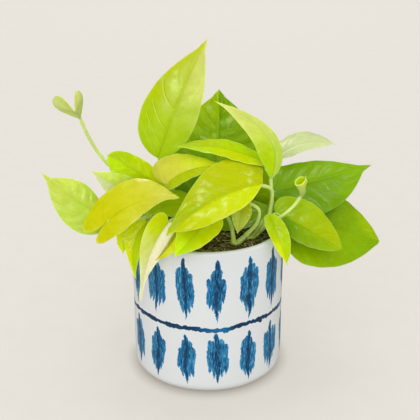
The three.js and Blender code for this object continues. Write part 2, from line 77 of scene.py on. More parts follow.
# The foot ring: how far its inner edge, its bend and its flat start lie inside the foot's rounding, and
# how high the bend is, in millimetres.
RING_WIDTH = 4.0
RING_BEND = 3.2
RING_FLAT = 2.6
RING_BEND_HEIGHT = 0.2

# The brushwork, for the lower and the upper row of dabs: the height of the row's middle and half the
# height of a dab, in millimetres, and the start of its random draws.
ROW_MIDDLE = (30.4, 87.7)
ROW_HALF = (22.8, 26.4)
ROW_SEED = (3.0, 44.0)

# The least and the most, in millimetres, for half the band's width, half a bristle stroke's width and
# the spacing of the strokes. DAB_START turns both rows, by a share of the space that one dab has.
BAND_HALF = (1.5, 2.2)
STROKE_HALF = (1.95, 2.5)
STROKE_SPACING = (2.5, 3.3)
DAB_START = 0.204

# The body of the mix: the height of its small crumbs and of the ring halfway down its side, in
# millimetres, and the number of rings and sides of its top.
SOIL_CRUMB = 0.25
SOIL_SKIRT = 90.0
SOIL_RINGS = 48
SOIL_SIDES = 144

# Bark chips: length, width and height as shares of a large chip's length, and where the noise starts.
CHIPS = (
    ((1.0, 0.55, 0.32), 0.0),
    ((0.8, 0.7, 0.4), 4.0),
    ((1.2, 0.35, 0.25), 8.0),
    ((0.5, 0.45, 0.4), 13.0),
)

# Coir threads: the point that bends each, its end and its radius, as shares of half a long thread.
THREADS = (
    ((0.0, 0.5, 0.22), (1.0, 0.1, 0.0), 0.042),
    ((0.2, -0.35, 0.1), (0.9, -0.2, 0.12), 0.036),
    ((-0.3, 0.9, 0.15), (0.5, 0.7, -0.05), 0.032),
)

# Blades: where the last line of faces before the edge runs, how far the side veins arch and stray, how
# strongly a skin is mottled, and how fine the hardly seen blades are, all as shares, and how wide the
# midrib's groove and its rib are, in millimetres.
NEAR_EDGE = 0.985
VEIN_ARCH = 0.26
VEIN_STRAY = 0.18
MOTTLE = 0.08
HIDDEN_DETAIL = 0.6
GROOVE_WIDTH = 0.8
RIB_WIDTH = 1.0

# Vines, in millimetres: the spacing of points along a stem and along a petiole, and of the rings on a
# stem, how far up a petiole its sheath fades, how far its knee lies before the blade, and the knee's
# length.
STEM_STEP = 0.7
PETIOLE_STEP = 1.1
STEM_RINGS = 8.0
SHEATH_FADE = 7.0
KNEE_PLACE = 2.5
KNEE_LENGTH = 3.0

# Where the lamps hang and shine to, in metres. A sun's width is in degrees.
PLANT_MIDDLE = (0.0, 0.0, 0.14)
KEY_PLACE = (-0.06, -0.72, 0.78)
KEY_WIDTH = 60
REAR_PLACE = (0.02, 0.34, 1.07)
REAR_WIDTH = 40
FAR_PLACE = (0.0, 2.3, 1.5)
FAR_FLOOR = (0.0, 2.3, 0.0)
FAR_WIDTH = 1.0

# Where the small studio panels hang that show as glare on the leaves, in metres.
PANEL_WIDTH = 0.2
PANELS = {
    "panel_front": (-0.32, -0.84, 0.36),
    "panel_middle": (0.0, -0.86, 0.42),
    "panel_top": (0.17, -0.18, 1.03),
    "panel_back": (-0.25, 0.56, 0.76),
}

# Where the camera stands, in metres, its tilt up from straight down, in degrees, and its turn, in
# radians.
CAMERA_PLACE = (0.0, -0.6, 0.358)
CAMERA_TILT = 69.15
CAMERA_PAN = -0.003

# The colours of new and old growth, from pale to dark. Chosen for each half of a blade, they also paint
# the light and shade that fall on it: darker tones on a half in shadow, paler ones where a sheen
# falls, and brighter ones on blades that sit in shade.
GROWTH_AND_PAINTED_LIGHT = {
    "cream": "#fcf8da",
    "frost": "#d6dfa8",
    "straw": "#dfe47e",
    "pear": "#dcea68",
    "mint": "#c8e04c",
    "honey": "#dadb4a",
    "gold": "#d9da00",
    "lemon": "#eaf400",
    "sun": "#dcea00",
    "citron": "#cbd600",
    "fresh": "#dcf600",
    "spring": "#cce800",
    "apple": "#b8cc00",
    "lime": "#bedb00",
    "olive": "#a8ac00",
    "grass": "#a6c800",
    "leaf": "#92be00",
    "forest": "#78a800",
}

# The tones of each blade: left half near the petiole and near the tip, then the right half. Besides the
# blade's own colour, they paint the light and shade that fall on each half. fleck is how much pale
# flecking shows, partly the blade's own and partly painted glare, start how far along the blade it
# begins, quilt how far the blade swells between its veins, in millimetres, pairs the number of side
# veins along the midrib, and back how much paler the underside is. PLAIN_LOOK holds what a blade has
# where its own row says nothing else.
PLAIN_LOOK = dict(fleck_and_glare=0.1, start=-1.0, quilt=0.2, pairs=6, back=0.1)
LOOKS = {
    "leaf_front_broad": dict(tones="sun citron citron apple", fleck_and_glare=1.3, quilt=0.5, pairs=7),
    "leaf_front_lower": dict(tones="lemon spring citron fresh", fleck_and_glare=0.2, quilt=0.3),
    "leaf_left_folded": dict(tones="gold honey gold honey", fleck_and_glare=0.1, quilt=0.12),
    "leaf_left_outer": dict(tones="mint pear mint pear", fleck_and_glare=0.4, quilt=0.5),
    "leaf_upper_left": dict(tones="apple spring sun lime", fleck_and_glare=0.05, quilt=0.3),
    "leaf_left_mint": dict(tones="mint frost lime pear", fleck_and_glare=0.3, quilt=0.3),
    "leaf_top_tall": dict(tones="lime citron lime straw", fleck_and_glare=1.0, start=0.5, quilt=0.08, pairs=7),
    "leaf_back_quilted": dict(tones="leaf lime grass leaf", fleck_and_glare=0.9, quilt=1.3, pairs=8),
    "leaf_arched_pale": dict(tones="spring straw mint straw", fleck_and_glare=0.1, quilt=0.3),
    "leaf_centre_lime": dict(tones="sun lime spring apple", fleck_and_glare=0.2, quilt=0.3),
    "leaf_centre_ochre": dict(tones="honey sun apple citron", fleck_and_glare=0.1, quilt=0.2),
    "leaf_right_pale": dict(tones="frost frost frost frost", fleck_and_glare=0.1, quilt=0.2),
    "leaf_right_deep": dict(tones="leaf leaf forest leaf", fleck_and_glare=0.12, quilt=0.6, pairs=7),
    "leaf_right_middle": dict(tones="grass apple forest grass", fleck_and_glare=0.08, quilt=0.4),
    "leaf_right_low": dict(tones="forest grass grass leaf", fleck_and_glare=0.1, quilt=0.6, pairs=7),
    "leaf_right_drooping": dict(tones="lime spring lime lemon", fleck_and_glare=0.1, quilt=0.2),
    "leaf_centre_small": dict(tones="citron pear citron pear", fleck_and_glare=0.1, quilt=0.2),
    "leaf_hanging_left": dict(tones="sun spring lemon lemon", fleck_and_glare=0.1, quilt=0.2),
    "leaf_hanging_cream": dict(tones="cream cream sun cream", fleck_and_glare=0.1, quilt=0.2),
    "leaf_hanging_olive": dict(tones="lemon gold olive olive", fleck_and_glare=0.1, quilt=0.2),
    "leaf_hanging_small": dict(tones="lemon sun lemon lemon", fleck_and_glare=0.1, quilt=0.2),
    "leaf_inner_left": dict(tones="lime lime lime lime"),
    "leaf_inner_middle": dict(tones="forest forest forest leaf"),
    "leaf_inner_right": dict(tones="leaf leaf grass grass"),
    "leaf_inner_low": dict(tones="leaf grass leaf grass"),
    "leaf_back_centre": dict(tones="leaf grass grass lime", fleck_and_glare=0.5, quilt=0.6, pairs=7),
    "leaf_back_left": dict(tones="lime spring spring sun", fleck_and_glare=0.4, quilt=0.5, pairs=7),
    "leaf_back_right": dict(tones="lime lime spring mint", fleck_and_glare=0.4, quilt=0.5, pairs=7),
    "leaf_back_left_low": dict(tones="lime spring lime mint", fleck_and_glare=0.3, quilt=0.4),
    "leaf_back_right_low": dict(tones="leaf grass leaf leaf", fleck_and_glare=0.4, quilt=0.5),
    "leaf_back_hanging_left": dict(tones="grass grass leaf grass", fleck_and_glare=0.2, quilt=0.3),
    "leaf_back_hanging_right": dict(tones="spring sun lime citron", fleck_and_glare=0.2, quilt=0.3),
    "leaf_back_upper_left": dict(tones="lime pear lime mint", fleck_and_glare=0.3, quilt=0.4),
    "leaf_back_upper_right": dict(tones="forest leaf leaf leaf", fleck_and_glare=0.5, quilt=0.7),
    "leaf_young_heart": dict(tones="sun citron sun citron", quilt=0.1, back=0.5),
    "leaf_young_rolled": dict(tones="lime sun lime sun", quilt=0.1, back=0.45),
}

# Each leaf: the petiole joins the midrib at base, and the midrib passes mid and ends at tip. face is
# the side that sees the light. Pairs are for the left and right half, seen from the base. half is the
# widest reach, fold and curl turn each half from the midrib to its edge, and heart is how far the basal
# lobes reach back. shoulder and point shape the outline, drip is the share that is the thread-like tip,
# scroll keeps the curl near the edge, and wave is the edge's height, its cycles and its phase.
# PLAIN_LEAF holds what a leaf has where its own row says nothing else.
PLAIN_LEAF = dict(shoulder=(0.5, 0.5), point=(0.85, 0.85), drip=0.06, scroll=1)
LEAVES = [PLAIN_LEAF | leaf for leaf in (
    dict(name="leaf_front_broad", tone="neon", base=(41, -22, 159), mid=(4, -54, 157),
         tip=(-29, -71, 137), face=(-0.1, -0.5, 0.85), half=(24, 30), fold=(20, 20),
         curl=(-8, -14), heart=(0, 0.22), shoulder=(1.1, 0.14), point=(0.9, 0.95), wave=(0.8, 2, 0.1)),
    dict(name="leaf_front_lower", tone="neon", base=(6, -42, 142), mid=(-9, -58, 133),
         tip=(-24, -67, 119), face=(-0.15, -0.6, 0.8), half=(13, 16), fold=(8, 8),
         curl=(-16, -10), heart=(0.05, 0.05), wave=(0.6, 2, 0.4)),
    dict(name="leaf_left_folded", tone="yellow", base=(-73, -50, 139), mid=(-48, -50, 155),
         tip=(-20, -45, 156), face=(-0.3, -0.6, 0.75), half=(26, 13.5), fold=(4, -10),
         curl=(-24, -20), heart=(0.75, 0.5), wave=(0.4, 2, 0), point=(0.85, 1.5)),
    dict(name="leaf_left_outer", tone="pale", base=(-76, -22, 134), mid=(-98, -24, 146),
         tip=(-123, -25, 169), face=(-0.3, -0.75, 0.6), half=(20, 14), fold=(6, 6),
         curl=(-14, -14), heart=(0.12, 0.12), drip=0.1, wave=(0.8, 1.5, 0.2), shoulder=(0.5, 1.2)),
    dict(name="leaf_upper_left", tone="lime", base=(-37, -5, 151), mid=(-56, -7, 165),
         tip=(-76, -8, 177), face=(-0.2, -0.7, 0.7), half=(14, 11), fold=(10, 6),
         curl=(-20, -18), heart=(0.2, 0.2), point=(0.5, 0.5), drip=0.03, wave=(0.8, 2, 0.3)),
    dict(name="leaf_left_mint", tone="pale", base=(-46, -20, 142), mid=(-65, -22, 155),
         tip=(-86, -23, 169.2), face=(-0.2, -0.7, 0.7), half=(12, 12), fold=(14, 8),
         curl=(-14, -14), heart=(0.1, 0.1), wave=(0.6, 2, 0.1)),
    dict(name="leaf_top_tall", tone="lime", base=(-38, 0, 172), mid=(-22, 2, 214),
         tip=(0, 8, 261), face=(-0.2, -0.9, 0.3), half=(25, 19), fold=(10, 10),
         curl=(-12, -10), heart=(0, 0), shoulder=(0.55, 0.7), point=(0.9, 0.9), wave=(0.8, 1.5, 0.2)),
    dict(name="leaf_back_quilted", tone="deep", base=(6, 22, 140), mid=(8, 34, 178),
         tip=(9, 42, 216), face=(0, -0.85, 0.5), half=(36, 36), fold=(8, 8),
         curl=(-16, -16), heart=(0.14, 0.14), wave=(1.4, 3, 0.2)),
    dict(name="leaf_arched_pale", tone="cream", base=(48, -10, 159), mid=(45, -4, 190),
         tip=(5, 6, 215), face=(0.1, -0.8, 0.6), half=(14, 7), fold=(16, 4),
         curl=(-10, -30), heart=(0, 0), shoulder=(0.7, 0.7), wave=(0.5, 2, 0)),
    dict(name="leaf_centre_lime", tone="neon", base=(42, -2, 170), mid=(9, -10, 183),
         tip=(-23, -18, 186), face=(0, -0.5, 0.87), half=(9, 10), fold=(6, 6),
         curl=(-16, -16), heart=(0.1, 0.1), wave=(0.6, 2, 0.2)),
    dict(name="leaf_centre_ochre", tone="ochre", base=(-30, -34, 162), mid=(-12, -28, 172),
         tip=(14, -14, 170), face=(-0.1, -0.5, 0.85), half=(24, 10), fold=(6, 14),
         curl=(-20, -10), heart=(0.1, 0.1), wave=(0.4, 2, 0.2), shoulder=(0.25, 0.5)),
    dict(name="leaf_right_pale", tone="pale", base=(56, 26, 166), mid=(80, 31, 176),
         tip=(103, 36, 172), face=(0.05, -0.3, 0.95), half=(17, 10), fold=(4, 4),
         curl=(-18, -18), heart=(0.08, 0.08), point=(0.7, 0.7), wave=(0.5, 2, 0.2)),
    dict(name="leaf_right_deep", tone="deep", base=(50, 10, 140), mid=(92, 16, 150),
         tip=(131, 26, 158), face=(0, -0.65, 0.76), half=(21, 30), fold=(6, 6),
         curl=(-12, -12), heart=(0.12, 0.12), drip=0.1, wave=(0.8, 2, 0.1), shoulder=(0.3, 0.5)),
    dict(name="leaf_right_middle", tone="green", base=(52, -19, 134), mid=(75, -26, 124),
         tip=(101, -32, 110), face=(0.2, -0.7, 0.7), half=(23, 13), fold=(4, 4),
         curl=(-16, -16), heart=(0.16, 0.04), point=(0.7, 0.6), drip=0.02, wave=(0.5, 2, 0.3),
         shoulder=(0.4, 0.5)),
    dict(name="leaf_right_low", tone="green", base=(66, -3, 124), mid=(103, 1, 113),
         tip=(138, 7, 100), face=(0.2, -0.65, 0.75), half=(30, 38), fold=(6, 6),
         curl=(-12, -12), heart=(0.1, 0.1), point=(0.7, 0.8), drip=0.03, wave=(0.8, 2, 0.2),
         shoulder=(0.5, 0.3)),
    dict(name="leaf_right_drooping", tone="neon", base=(45, -32, 137), mid=(52, -42, 124),
         tip=(59, -45, 102), face=(0.2, -0.9, 0.35), half=(8.5, 6.5), fold=(14, 14),
         curl=(-10, -10), heart=(0.05, 0.05), wave=(0.4, 2, 0.1), point=(0.6, 0.85)),
    dict(name="leaf_centre_small", tone="lime", base=(27, -32, 148), mid=(24, -36, 138),
         tip=(22, -38, 125), face=(-0.2, -0.9, 0.3), half=(8, 7), fold=(16, 16),
         curl=(-10, -10), heart=(0.05, 0.05), wave=(0.2, 2, 0.1)),
    dict(name="leaf_hanging_left", tone="lime", base=(-46, -28, 130), mid=(-56, -37, 113),
         tip=(-54, -40, 89), face=(-0.3, -0.9, 0.3), half=(8, 9), fold=(12, 12),
         curl=(-10, -10), heart=(0.06, 0.06), wave=(0.4, 2, 0.2), point=(0.85, 1.6)),
    dict(name="leaf_hanging_cream", tone="cream", base=(-29, -48, 137), mid=(-43, -54, 112),
         tip=(-51, -42, 71), face=(0.2, -0.9, 0.3), half=(10, 13), fold=(22, 22),
         curl=(-8, -8), heart=(0.1, 0.1), shoulder=(0.5, 0.35), point=(1.7, 1.7), wave=(0.4, 2, 0.2)),
    dict(name="leaf_hanging_olive", tone="green", base=(-19, -44, 136), mid=(-26, -60, 127),
         tip=(-38, -62, 114), face=(0.1, -0.8, 0.5), half=(7, 2.5), fold=(10, 10),
         curl=(-10, -10), heart=(0.06, 0.06), wave=(0.3, 2, 0.2)),
    dict(name="leaf_hanging_small", tone="lime", base=(-53, -22, 127), mid=(-62, -29, 118),
         tip=(-64, -31, 106), face=(-0.3, -0.9, 0.3), half=(8, 8), fold=(10, 10),
         curl=(-10, -10), heart=(0.06, 0.06), wave=(0.3, 2, 0.2)),
    dict(name="leaf_inner_left", tone="green", base=(-12, -24, 141), mid=(-28, -28, 144),
         tip=(-46, -34, 138), face=(-0.1, -0.7, 0.7), half=(11, 12), fold=(6, 6),
         curl=(-14, -14), heart=(0.08, 0.08), wave=(0.3, 2, 0.2)),
    dict(name="leaf_inner_middle", tone="deep", base=(-4, -8, 140), mid=(-14, -13, 152),
         tip=(-24, -16, 164), face=(-0.1, -0.85, 0.5), half=(15, 15), fold=(6, 6),
         curl=(-14, -14), heart=(0.08, 0.08), wave=(0.4, 2, 0.2)),
    dict(name="leaf_inner_right", tone="deep", base=(36, 4, 128), mid=(38, 0, 150),
         tip=(42, -2, 168), face=(0, -0.95, 0.3), half=(13, 13), fold=(6, 6),
         curl=(-14, -14), heart=(0.08, 0.08), wave=(0.4, 2, 0.2)),
    dict(name="leaf_inner_low", tone="deep", base=(2, -2, 124), mid=(28, -8, 130),
         tip=(58, -8, 129), face=(0, -0.85, 0.5), half=(13, 13), fold=(6, 6),
         curl=(-14, -14), heart=(0.08, 0.08), wave=(0.4, 2, 0.2)),
    dict(name="leaf_back_centre", tone="green", base=(0, 44, 128), mid=(2, 70, 132),
         tip=(4, 98, 112), face=(0, 0.3, 0.95), half=(24, 24), fold=(8, 8),
         curl=(-16, -16), heart=(0.12, 0.12), wave=(0.8, 2, 0.2)),
    dict(name="leaf_back_left", tone="neon", base=(-30, 34, 126), mid=(-50, 56, 128),
         tip=(-72, 78, 108), face=(-0.2, 0.3, 0.93), half=(22, 22), fold=(8, 8),
         curl=(-16, -16), heart=(0.12, 0.12), wave=(0.8, 2, 0.6)),
    dict(name="leaf_back_right", tone="lime", base=(30, 38, 128), mid=(52, 58, 130),
         tip=(74, 80, 108), face=(0.2, 0.3, 0.93), half=(22, 22), fold=(8, 8),
         curl=(-16, -16), heart=(0.12, 0.12), wave=(0.8, 2, 0.9)),
    dict(name="leaf_back_left_low", tone="lime", base=(-44, 18, 122), mid=(-68, 32, 120),
         tip=(-92, 44, 100), face=(-0.3, 0.2, 0.93), half=(18, 18), fold=(8, 8),
         curl=(-16, -16), heart=(0.12, 0.12), wave=(0.6, 2, 0.2)),
    dict(name="leaf_back_right_low", tone="green", base=(50, 20, 124), mid=(76, 36, 122),
         tip=(100, 52, 102), face=(0.3, 0.2, 0.93), half=(19, 19), fold=(8, 8),
         curl=(-16, -16), heart=(0.12, 0.12), wave=(0.6, 2, 0.5)),
    dict(name="leaf_back_hanging_left", tone="green", base=(-20, 54, 124), mid=(-25, 70, 112),
         tip=(-30, 74, 84), face=(-0.2, 0.9, 0.4), half=(13, 13), fold=(12, 12),
         curl=(-12, -12), heart=(0.08, 0.08), wave=(0.5, 2, 0.2)),
    dict(name="leaf_back_hanging_right", tone="neon", base=(24, 54, 124), mid=(30, 70, 113),
         tip=(34, 74, 88), face=(0.3, 0.9, 0.4), half=(12, 12), fold=(12, 12),
         curl=(-12, -12), heart=(0.08, 0.08), wave=(0.5, 2, 0.7)),
    dict(name="leaf_back_upper_left", tone="lime", base=(-12, 31, 142), mid=(-26, 44, 147),
         tip=(-44, 60, 137), face=(-0.3, 0.2, 0.93), half=(17, 17), fold=(8, 8),
         curl=(-16, -16), heart=(0.1, 0.1), wave=(0.6, 2, 0.3)),
    dict(name="leaf_back_upper_right", tone="deep", base=(26, 34, 143), mid=(41, 46, 147),
         tip=(56, 62, 135), face=(0.3, 0.2, 0.93), half=(17, 17), fold=(8, 8),
         curl=(-16, -16), heart=(0.1, 0.1), wave=(0.6, 2, 0.8)),
    dict(name="leaf_young_heart", tone="lime", base=(-94.5, -8, 205), mid=(-94, -15, 210),
         tip=(-96, -22, 214), face=(-0.52, 0.3, 0.8), half=(22, 32), fold=(46, 46),
         curl=(130, 225), scroll=4, heart=(0, 0), shoulder=(0.4, 0.4), point=(0.5, 0.5),
         wave=(0, 1, 0)),
    dict(name="leaf_young_rolled", tone="lime", base=(70, -26, 149.7), mid=(68, -30, 155.7),
         tip=(64, -35, 162.7), face=(0.9, 0.3, 0.3), half=(12, 12), fold=(10, 10),
         curl=(165, 165), heart=(0, 0), shoulder=(0.7, 0.7), point=(0, 0), drip=0, wave=(1.5, 1.25, 0)),
)]

# Each vine: a short stem that stands in the mix, and the petioles that leave it for their leaves. at is
# the stem point that a petiole grows from, and via are the points that it passes.
VINES = [
    dict(name="vine_front_centre", stem=[(12, -30, 108), (20, -29, 112), (29, -27, 119)], petioles=[
        dict(leaf="leaf_centre_small", at=2, via=[(37, -27, 129), (38, -29, 141)]),
        dict(leaf="leaf_front_lower", at=1, via=[(18, -25, 125), (13, -33, 138)]),
    ]),
    dict(name="vine_front_right", stem=[(28, -18, 108), (36, -17, 115), (46, -16, 125)], petioles=[
        dict(leaf="leaf_front_broad", at=2, via=[(48, -17, 140), (48, -19, 153)]),
        dict(leaf="leaf_arched_pale", at=2, via=[(49, -13, 142)]),
        dict(leaf="leaf_young_rolled", at=2, via=[(49, -26, 131), (56, -29, 136), (64, -28, 143)]),
        dict(leaf="leaf_right_drooping", at=1, via=[(42, -24, 130)]),
        dict(leaf="leaf_right_middle", at=2, via=[]),
    ]),
    dict(name="vine_front_left", stem=[(-14, -20, 108), (-16, -22, 116), (-17, -26, 125)], petioles=[
        dict(leaf="leaf_hanging_cream", at=2, via=[(-24, -36, 136)]),
        dict(leaf="leaf_hanging_olive", at=2, via=[(-17, -34, 134)]),
        dict(leaf="leaf_inner_left", at=1, via=[(-8, -22, 132)]),
    ]),
    dict(name="vine_left", stem=[(-32, -6, 108), (-34, -7, 117), (-38, -8, 125)], petioles=[
        dict(leaf="leaf_left_folded", at=2, via=[(-46, -28, 134), (-62, -42, 135)]),
        dict(leaf="leaf_left_outer", at=2, via=[(-58, -14, 132)]),
        dict(leaf="leaf_left_mint", at=2, via=[(-42, -10, 134)]),
        dict(leaf="leaf_upper_left", at=1, via=[(-36, -1, 134)]),
        dict(leaf="leaf_young_heart", at=1,
             via=[(-50, 6, 146), (-76, 2, 166), (-84, -1, 178), (-90, -4, 191)]),
        dict(leaf="leaf_hanging_left", at=1, via=[(-38, -20, 128)]),
        dict(leaf="leaf_hanging_small", at=2, via=[(-46, -15, 128)]),
    ]),
    dict(name="vine_centre", stem=[(-8, 4, 108), (-10, 4, 116), (-14, 4, 124)], petioles=[
        dict(leaf="leaf_top_tall", at=2, via=[(-25, 6, 144), (-32, 5, 158)]),
        dict(leaf="leaf_centre_ochre", at=2, via=[(-26, -8, 144), (-30, -20, 155)]),
        dict(leaf="leaf_inner_middle", at=2, via=[(-8, -1, 133)]),
        dict(leaf="leaf_inner_low", at=1, via=[(-4, 1, 121)]),
    ]),
    dict(name="vine_centre_right", stem=[(24, 8, 108), (25, 9, 115), (28, 10, 121)], petioles=[
        dict(leaf="leaf_centre_lime", at=2, via=[(36, 14, 142), (44, 9, 160)]),
        dict(leaf="leaf_inner_right", at=1, via=[(32, 7, 122)]),
    ]),
    dict(name="vine_back_centre", stem=[(6, 22, 108), (6, 23, 118), (6, 25, 126)], petioles=[
        dict(leaf="leaf_back_quilted", at=2, via=[]),
        dict(leaf="leaf_back_upper_left", at=2, via=[(-1, 27, 136)]),
        dict(leaf="leaf_back_upper_right", at=2, via=[(16, 30, 136)]),
        dict(leaf="leaf_back_centre", at=1, via=[(2, 34, 125)]),
    ]),
    dict(name="vine_right", stem=[(38, 8, 108), (41, 9, 117), (44, 10, 126)], petioles=[
        dict(leaf="leaf_right_pale", at=2, via=[(45, 26, 144)]),
        dict(leaf="leaf_right_deep", at=2, via=[]),
        dict(leaf="leaf_right_low", at=1, via=[(54, 2, 124)]),
        dict(leaf="leaf_back_right_low", at=1, via=[(45, 15, 122)]),
    ]),
    dict(name="vine_back_left", stem=[(-22, 26, 108), (-23, 28, 115), (-25, 30, 120)], petioles=[
        dict(leaf="leaf_back_left", at=2, via=[]),
        dict(leaf="leaf_back_left_low", at=1, via=[(-34, 22, 119)]),
        dict(leaf="leaf_back_hanging_left", at=1, via=[(-18, 44, 122)]),
    ]),
    dict(name="vine_back_right", stem=[(24, 34, 108), (25, 35, 115), (26, 36, 121)], petioles=[
        dict(leaf="leaf_back_right", at=2, via=[]),
        dict(leaf="leaf_back_hanging_right", at=1, via=[(24, 46, 122)]),
    ]),
]


def linear(code):
    """The linear colour, with alpha, of a six-digit code."""
    channels = [int(code[k:k + 2], 16) / 255 for k in (1, 3, 5)]
    return tuple(c / 12.92 if c <= 0.04045 else ((c + 0.055) / 1.055) ** 2.4 for c in channels) + (1.0,)


def length(name, description, default):
    """A property for a length, given in millimetres and kept in metres."""
    return FloatProperty(name=name, description=description, default=default * MM, min=0.0,
                         precision=5, unit="LENGTH", subtype="DISTANCE")


def share(name, description, default, top=1.0):
    """A property for a plain number from 0 up."""
    return FloatProperty(name=name, description=description, default=default, min=0.0, max=top)


def count(name, description, default):
    """A property for a whole number."""
    return IntProperty(name=name, description=description, default=default, min=1)


def colour(name, description, code):
    """A property for a colour."""
    return FloatVectorProperty(name=name, description=description, default=linear(code), size=4,
                               min=0.0, max=1.0, subtype="COLOR")


pot_low, pot_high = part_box("pot")


class PotSettings(bpy.types.PropertyGroup):
    """Sizes and colours of the pot."""

    height: length("Height", "From the foot to the lip", pot_high.z / MM)
    radius: length("Radius", "Outer radius of the wall", pot_high.x / MM)
    wall: length("Wall", "Thickness of the wall", 4.5)
    foot: length("Foot rounding", "Radius of the rounded foot", 8)
    lip: length("Lip rounding", "Radius of the rounded lip", 1.8)
    recess: length("Foot recess", "Depth of the hollow inside the foot ring", 1.2)
    wobble: length("Wobble", "How far the thrown wall strays from round", 0.35)
    sides: count("Sides", "Faces round the wall, a multiple of the dabs", 300)
    dabs: count("Dabs", "Brush dabs in each row", 15)
    band: length("Band height", "Height of the painted band", 57)
    glaze: colour("Glaze", "Colour of the white glaze", "#dde1e4")
    cloud: colour("Glaze clouds", "Colour of the faint clouds in the glaze", "#d8dcdd")
    clay: colour("Clay", "Colour of the bare foot ring", "#cdbfa9")
    wash: colour("Wash", "Palest blue of the brushwork", "#5cb2da")
    blue: colour("Blue", "Main blue of the brushwork", "#0072ab")
    navy: colour("Navy", "Darkest blue of the brushwork", "#003459")


class MixSettings(bpy.types.PropertyGroup):
    """Sizes and colours of the potting mix."""

    chips: count("Chips", "Bark chips on a square metre", 95000)
    chip: length("Chip length", "Half length of a large bark chip", 2.4)
    threads: count("Threads", "Coir threads on a square metre", 190000)
    thread: length("Thread length", "Half length of a long thread", 7)
    seed: count("Seed", "Start of the random scatter", 7)
    bark: colour("Bark", "Colour of the dark bark", "#30290f")
    crumb: colour("Crumb", "Colour of the lighter crumbs", "#6a6026")
    coir: colour("Coir", "Colour of the pale threads", "#e8e694")


class VineSettings(bpy.types.PropertyGroup):
    """Sizes and colours of the stems and petioles."""

    stem: length("Stem radius", "Radius of a rooted stem", 2.2)
    petiole: length("Petiole radius", "Radius of a petiole at its middle", 1.3)
    sheath: length("Sheath", "How much a petiole widens at its foot", 1.1)
    knee: length("Knee", "How much a petiole swells under its blade", 0.15)
    groove: share("Groove", "Depth of the groove along a petiole, as a share of its radius", 0.28)
    grain: length("Grain", "Height of the uneven skin", 0.12)
    sides: count("Sides", "Faces round a stem or petiole", 16)
    young: colour("Young skin", "Colour of a petiole", "#e6f892")
    pale: colour("Pale skin", "Colour of a petiole under its blade", "#e0eaaa")
    old: colour("Old skin", "Colour of a stem near the mix", "#d2e866")
    scar: colour("Scar", "Colour of the rings and scars", "#8a7a3c")


class LeafSettings(bpy.types.PropertyGroup):
    """Sizes and finish of the leaf blades."""

    thickness: length("Thickness", "Thickness of a blade at its midrib", 0.55)
    edge: length("Edge", "Thickness of a blade at its edge", 0.25)
    rib: length("Rib", "Height of the midrib under the blade", 0.7)
    groove: length("Groove", "Depth of the midrib's groove on top", 0.4)
    ripple: length("Ripple", "Height of the small waves along the edge", 0.35)
    rows: count("Rows", "Faces along a blade", 80)
    columns: count("Columns", "Faces from a blade's midrib to its edge", 22)
    glow: share("Glow", "How much light passes through a blade", 0.32)
    rough: share("Roughness", "Roughness of a blade's upper side", 0.24)
    # On undersides this colour is the blade's own; on edges it paints a highlight.
    pale: colour("Underside", "Pale colour that edges and undersides turn to", "#e3edb2")
    # The palest fleck colour also paints glare on the blades.
    fleck_and_glare: colour("Flecks", "Palest colour of the flecks", "#e4ee90")


class StageSettings(bpy.types.PropertyGroup):
    """Sizes and strengths of the floor, the lights and the camera."""

    reach: length("Floor reach", "Half width of the floor", 9000)
    floor: colour("Floor", "Colour of the floor", "#918e89")
    contact: colour("Contact", "Colour of the floor's shade close to the pot", "#5c564c")
    mirrored: colour("Mirrored floor", "Colour of the floor in reflections", "#302e2a")
    backdrop: colour("Backdrop", "Colour behind the floor's far edge", "#e9e3db")
    air: colour("Sky colour", "Colour of the light from all sides", "#fffdfa")
    lift: share("Floor lift", "How much the floor shines by itself, to soften the shadows", 1.6, 10.0)
    sky: share("Sky", "Strength of the light from all sides", 0.84, 10.0)
    gloss: share("Gloss", "Strength of that light in reflections", 0.08, 10.0)
    key: share("Key", "Strength of the front light", 1.0, 10.0)
    rear: share("Rear", "Strength of the light from above and behind", 0.75, 10.0)
    panel: share("Panels", "Power of each small studio panel in watts", 2.2, 100.0)
    far: share("Far", "Power of the light on the far floor in watts", 3.0, 100.0)
    lens: FloatProperty(name="Lens", description="Focal length of the camera", default=70.3,
                        unit="CAMERA", subtype="DISTANCE_CAMERA")


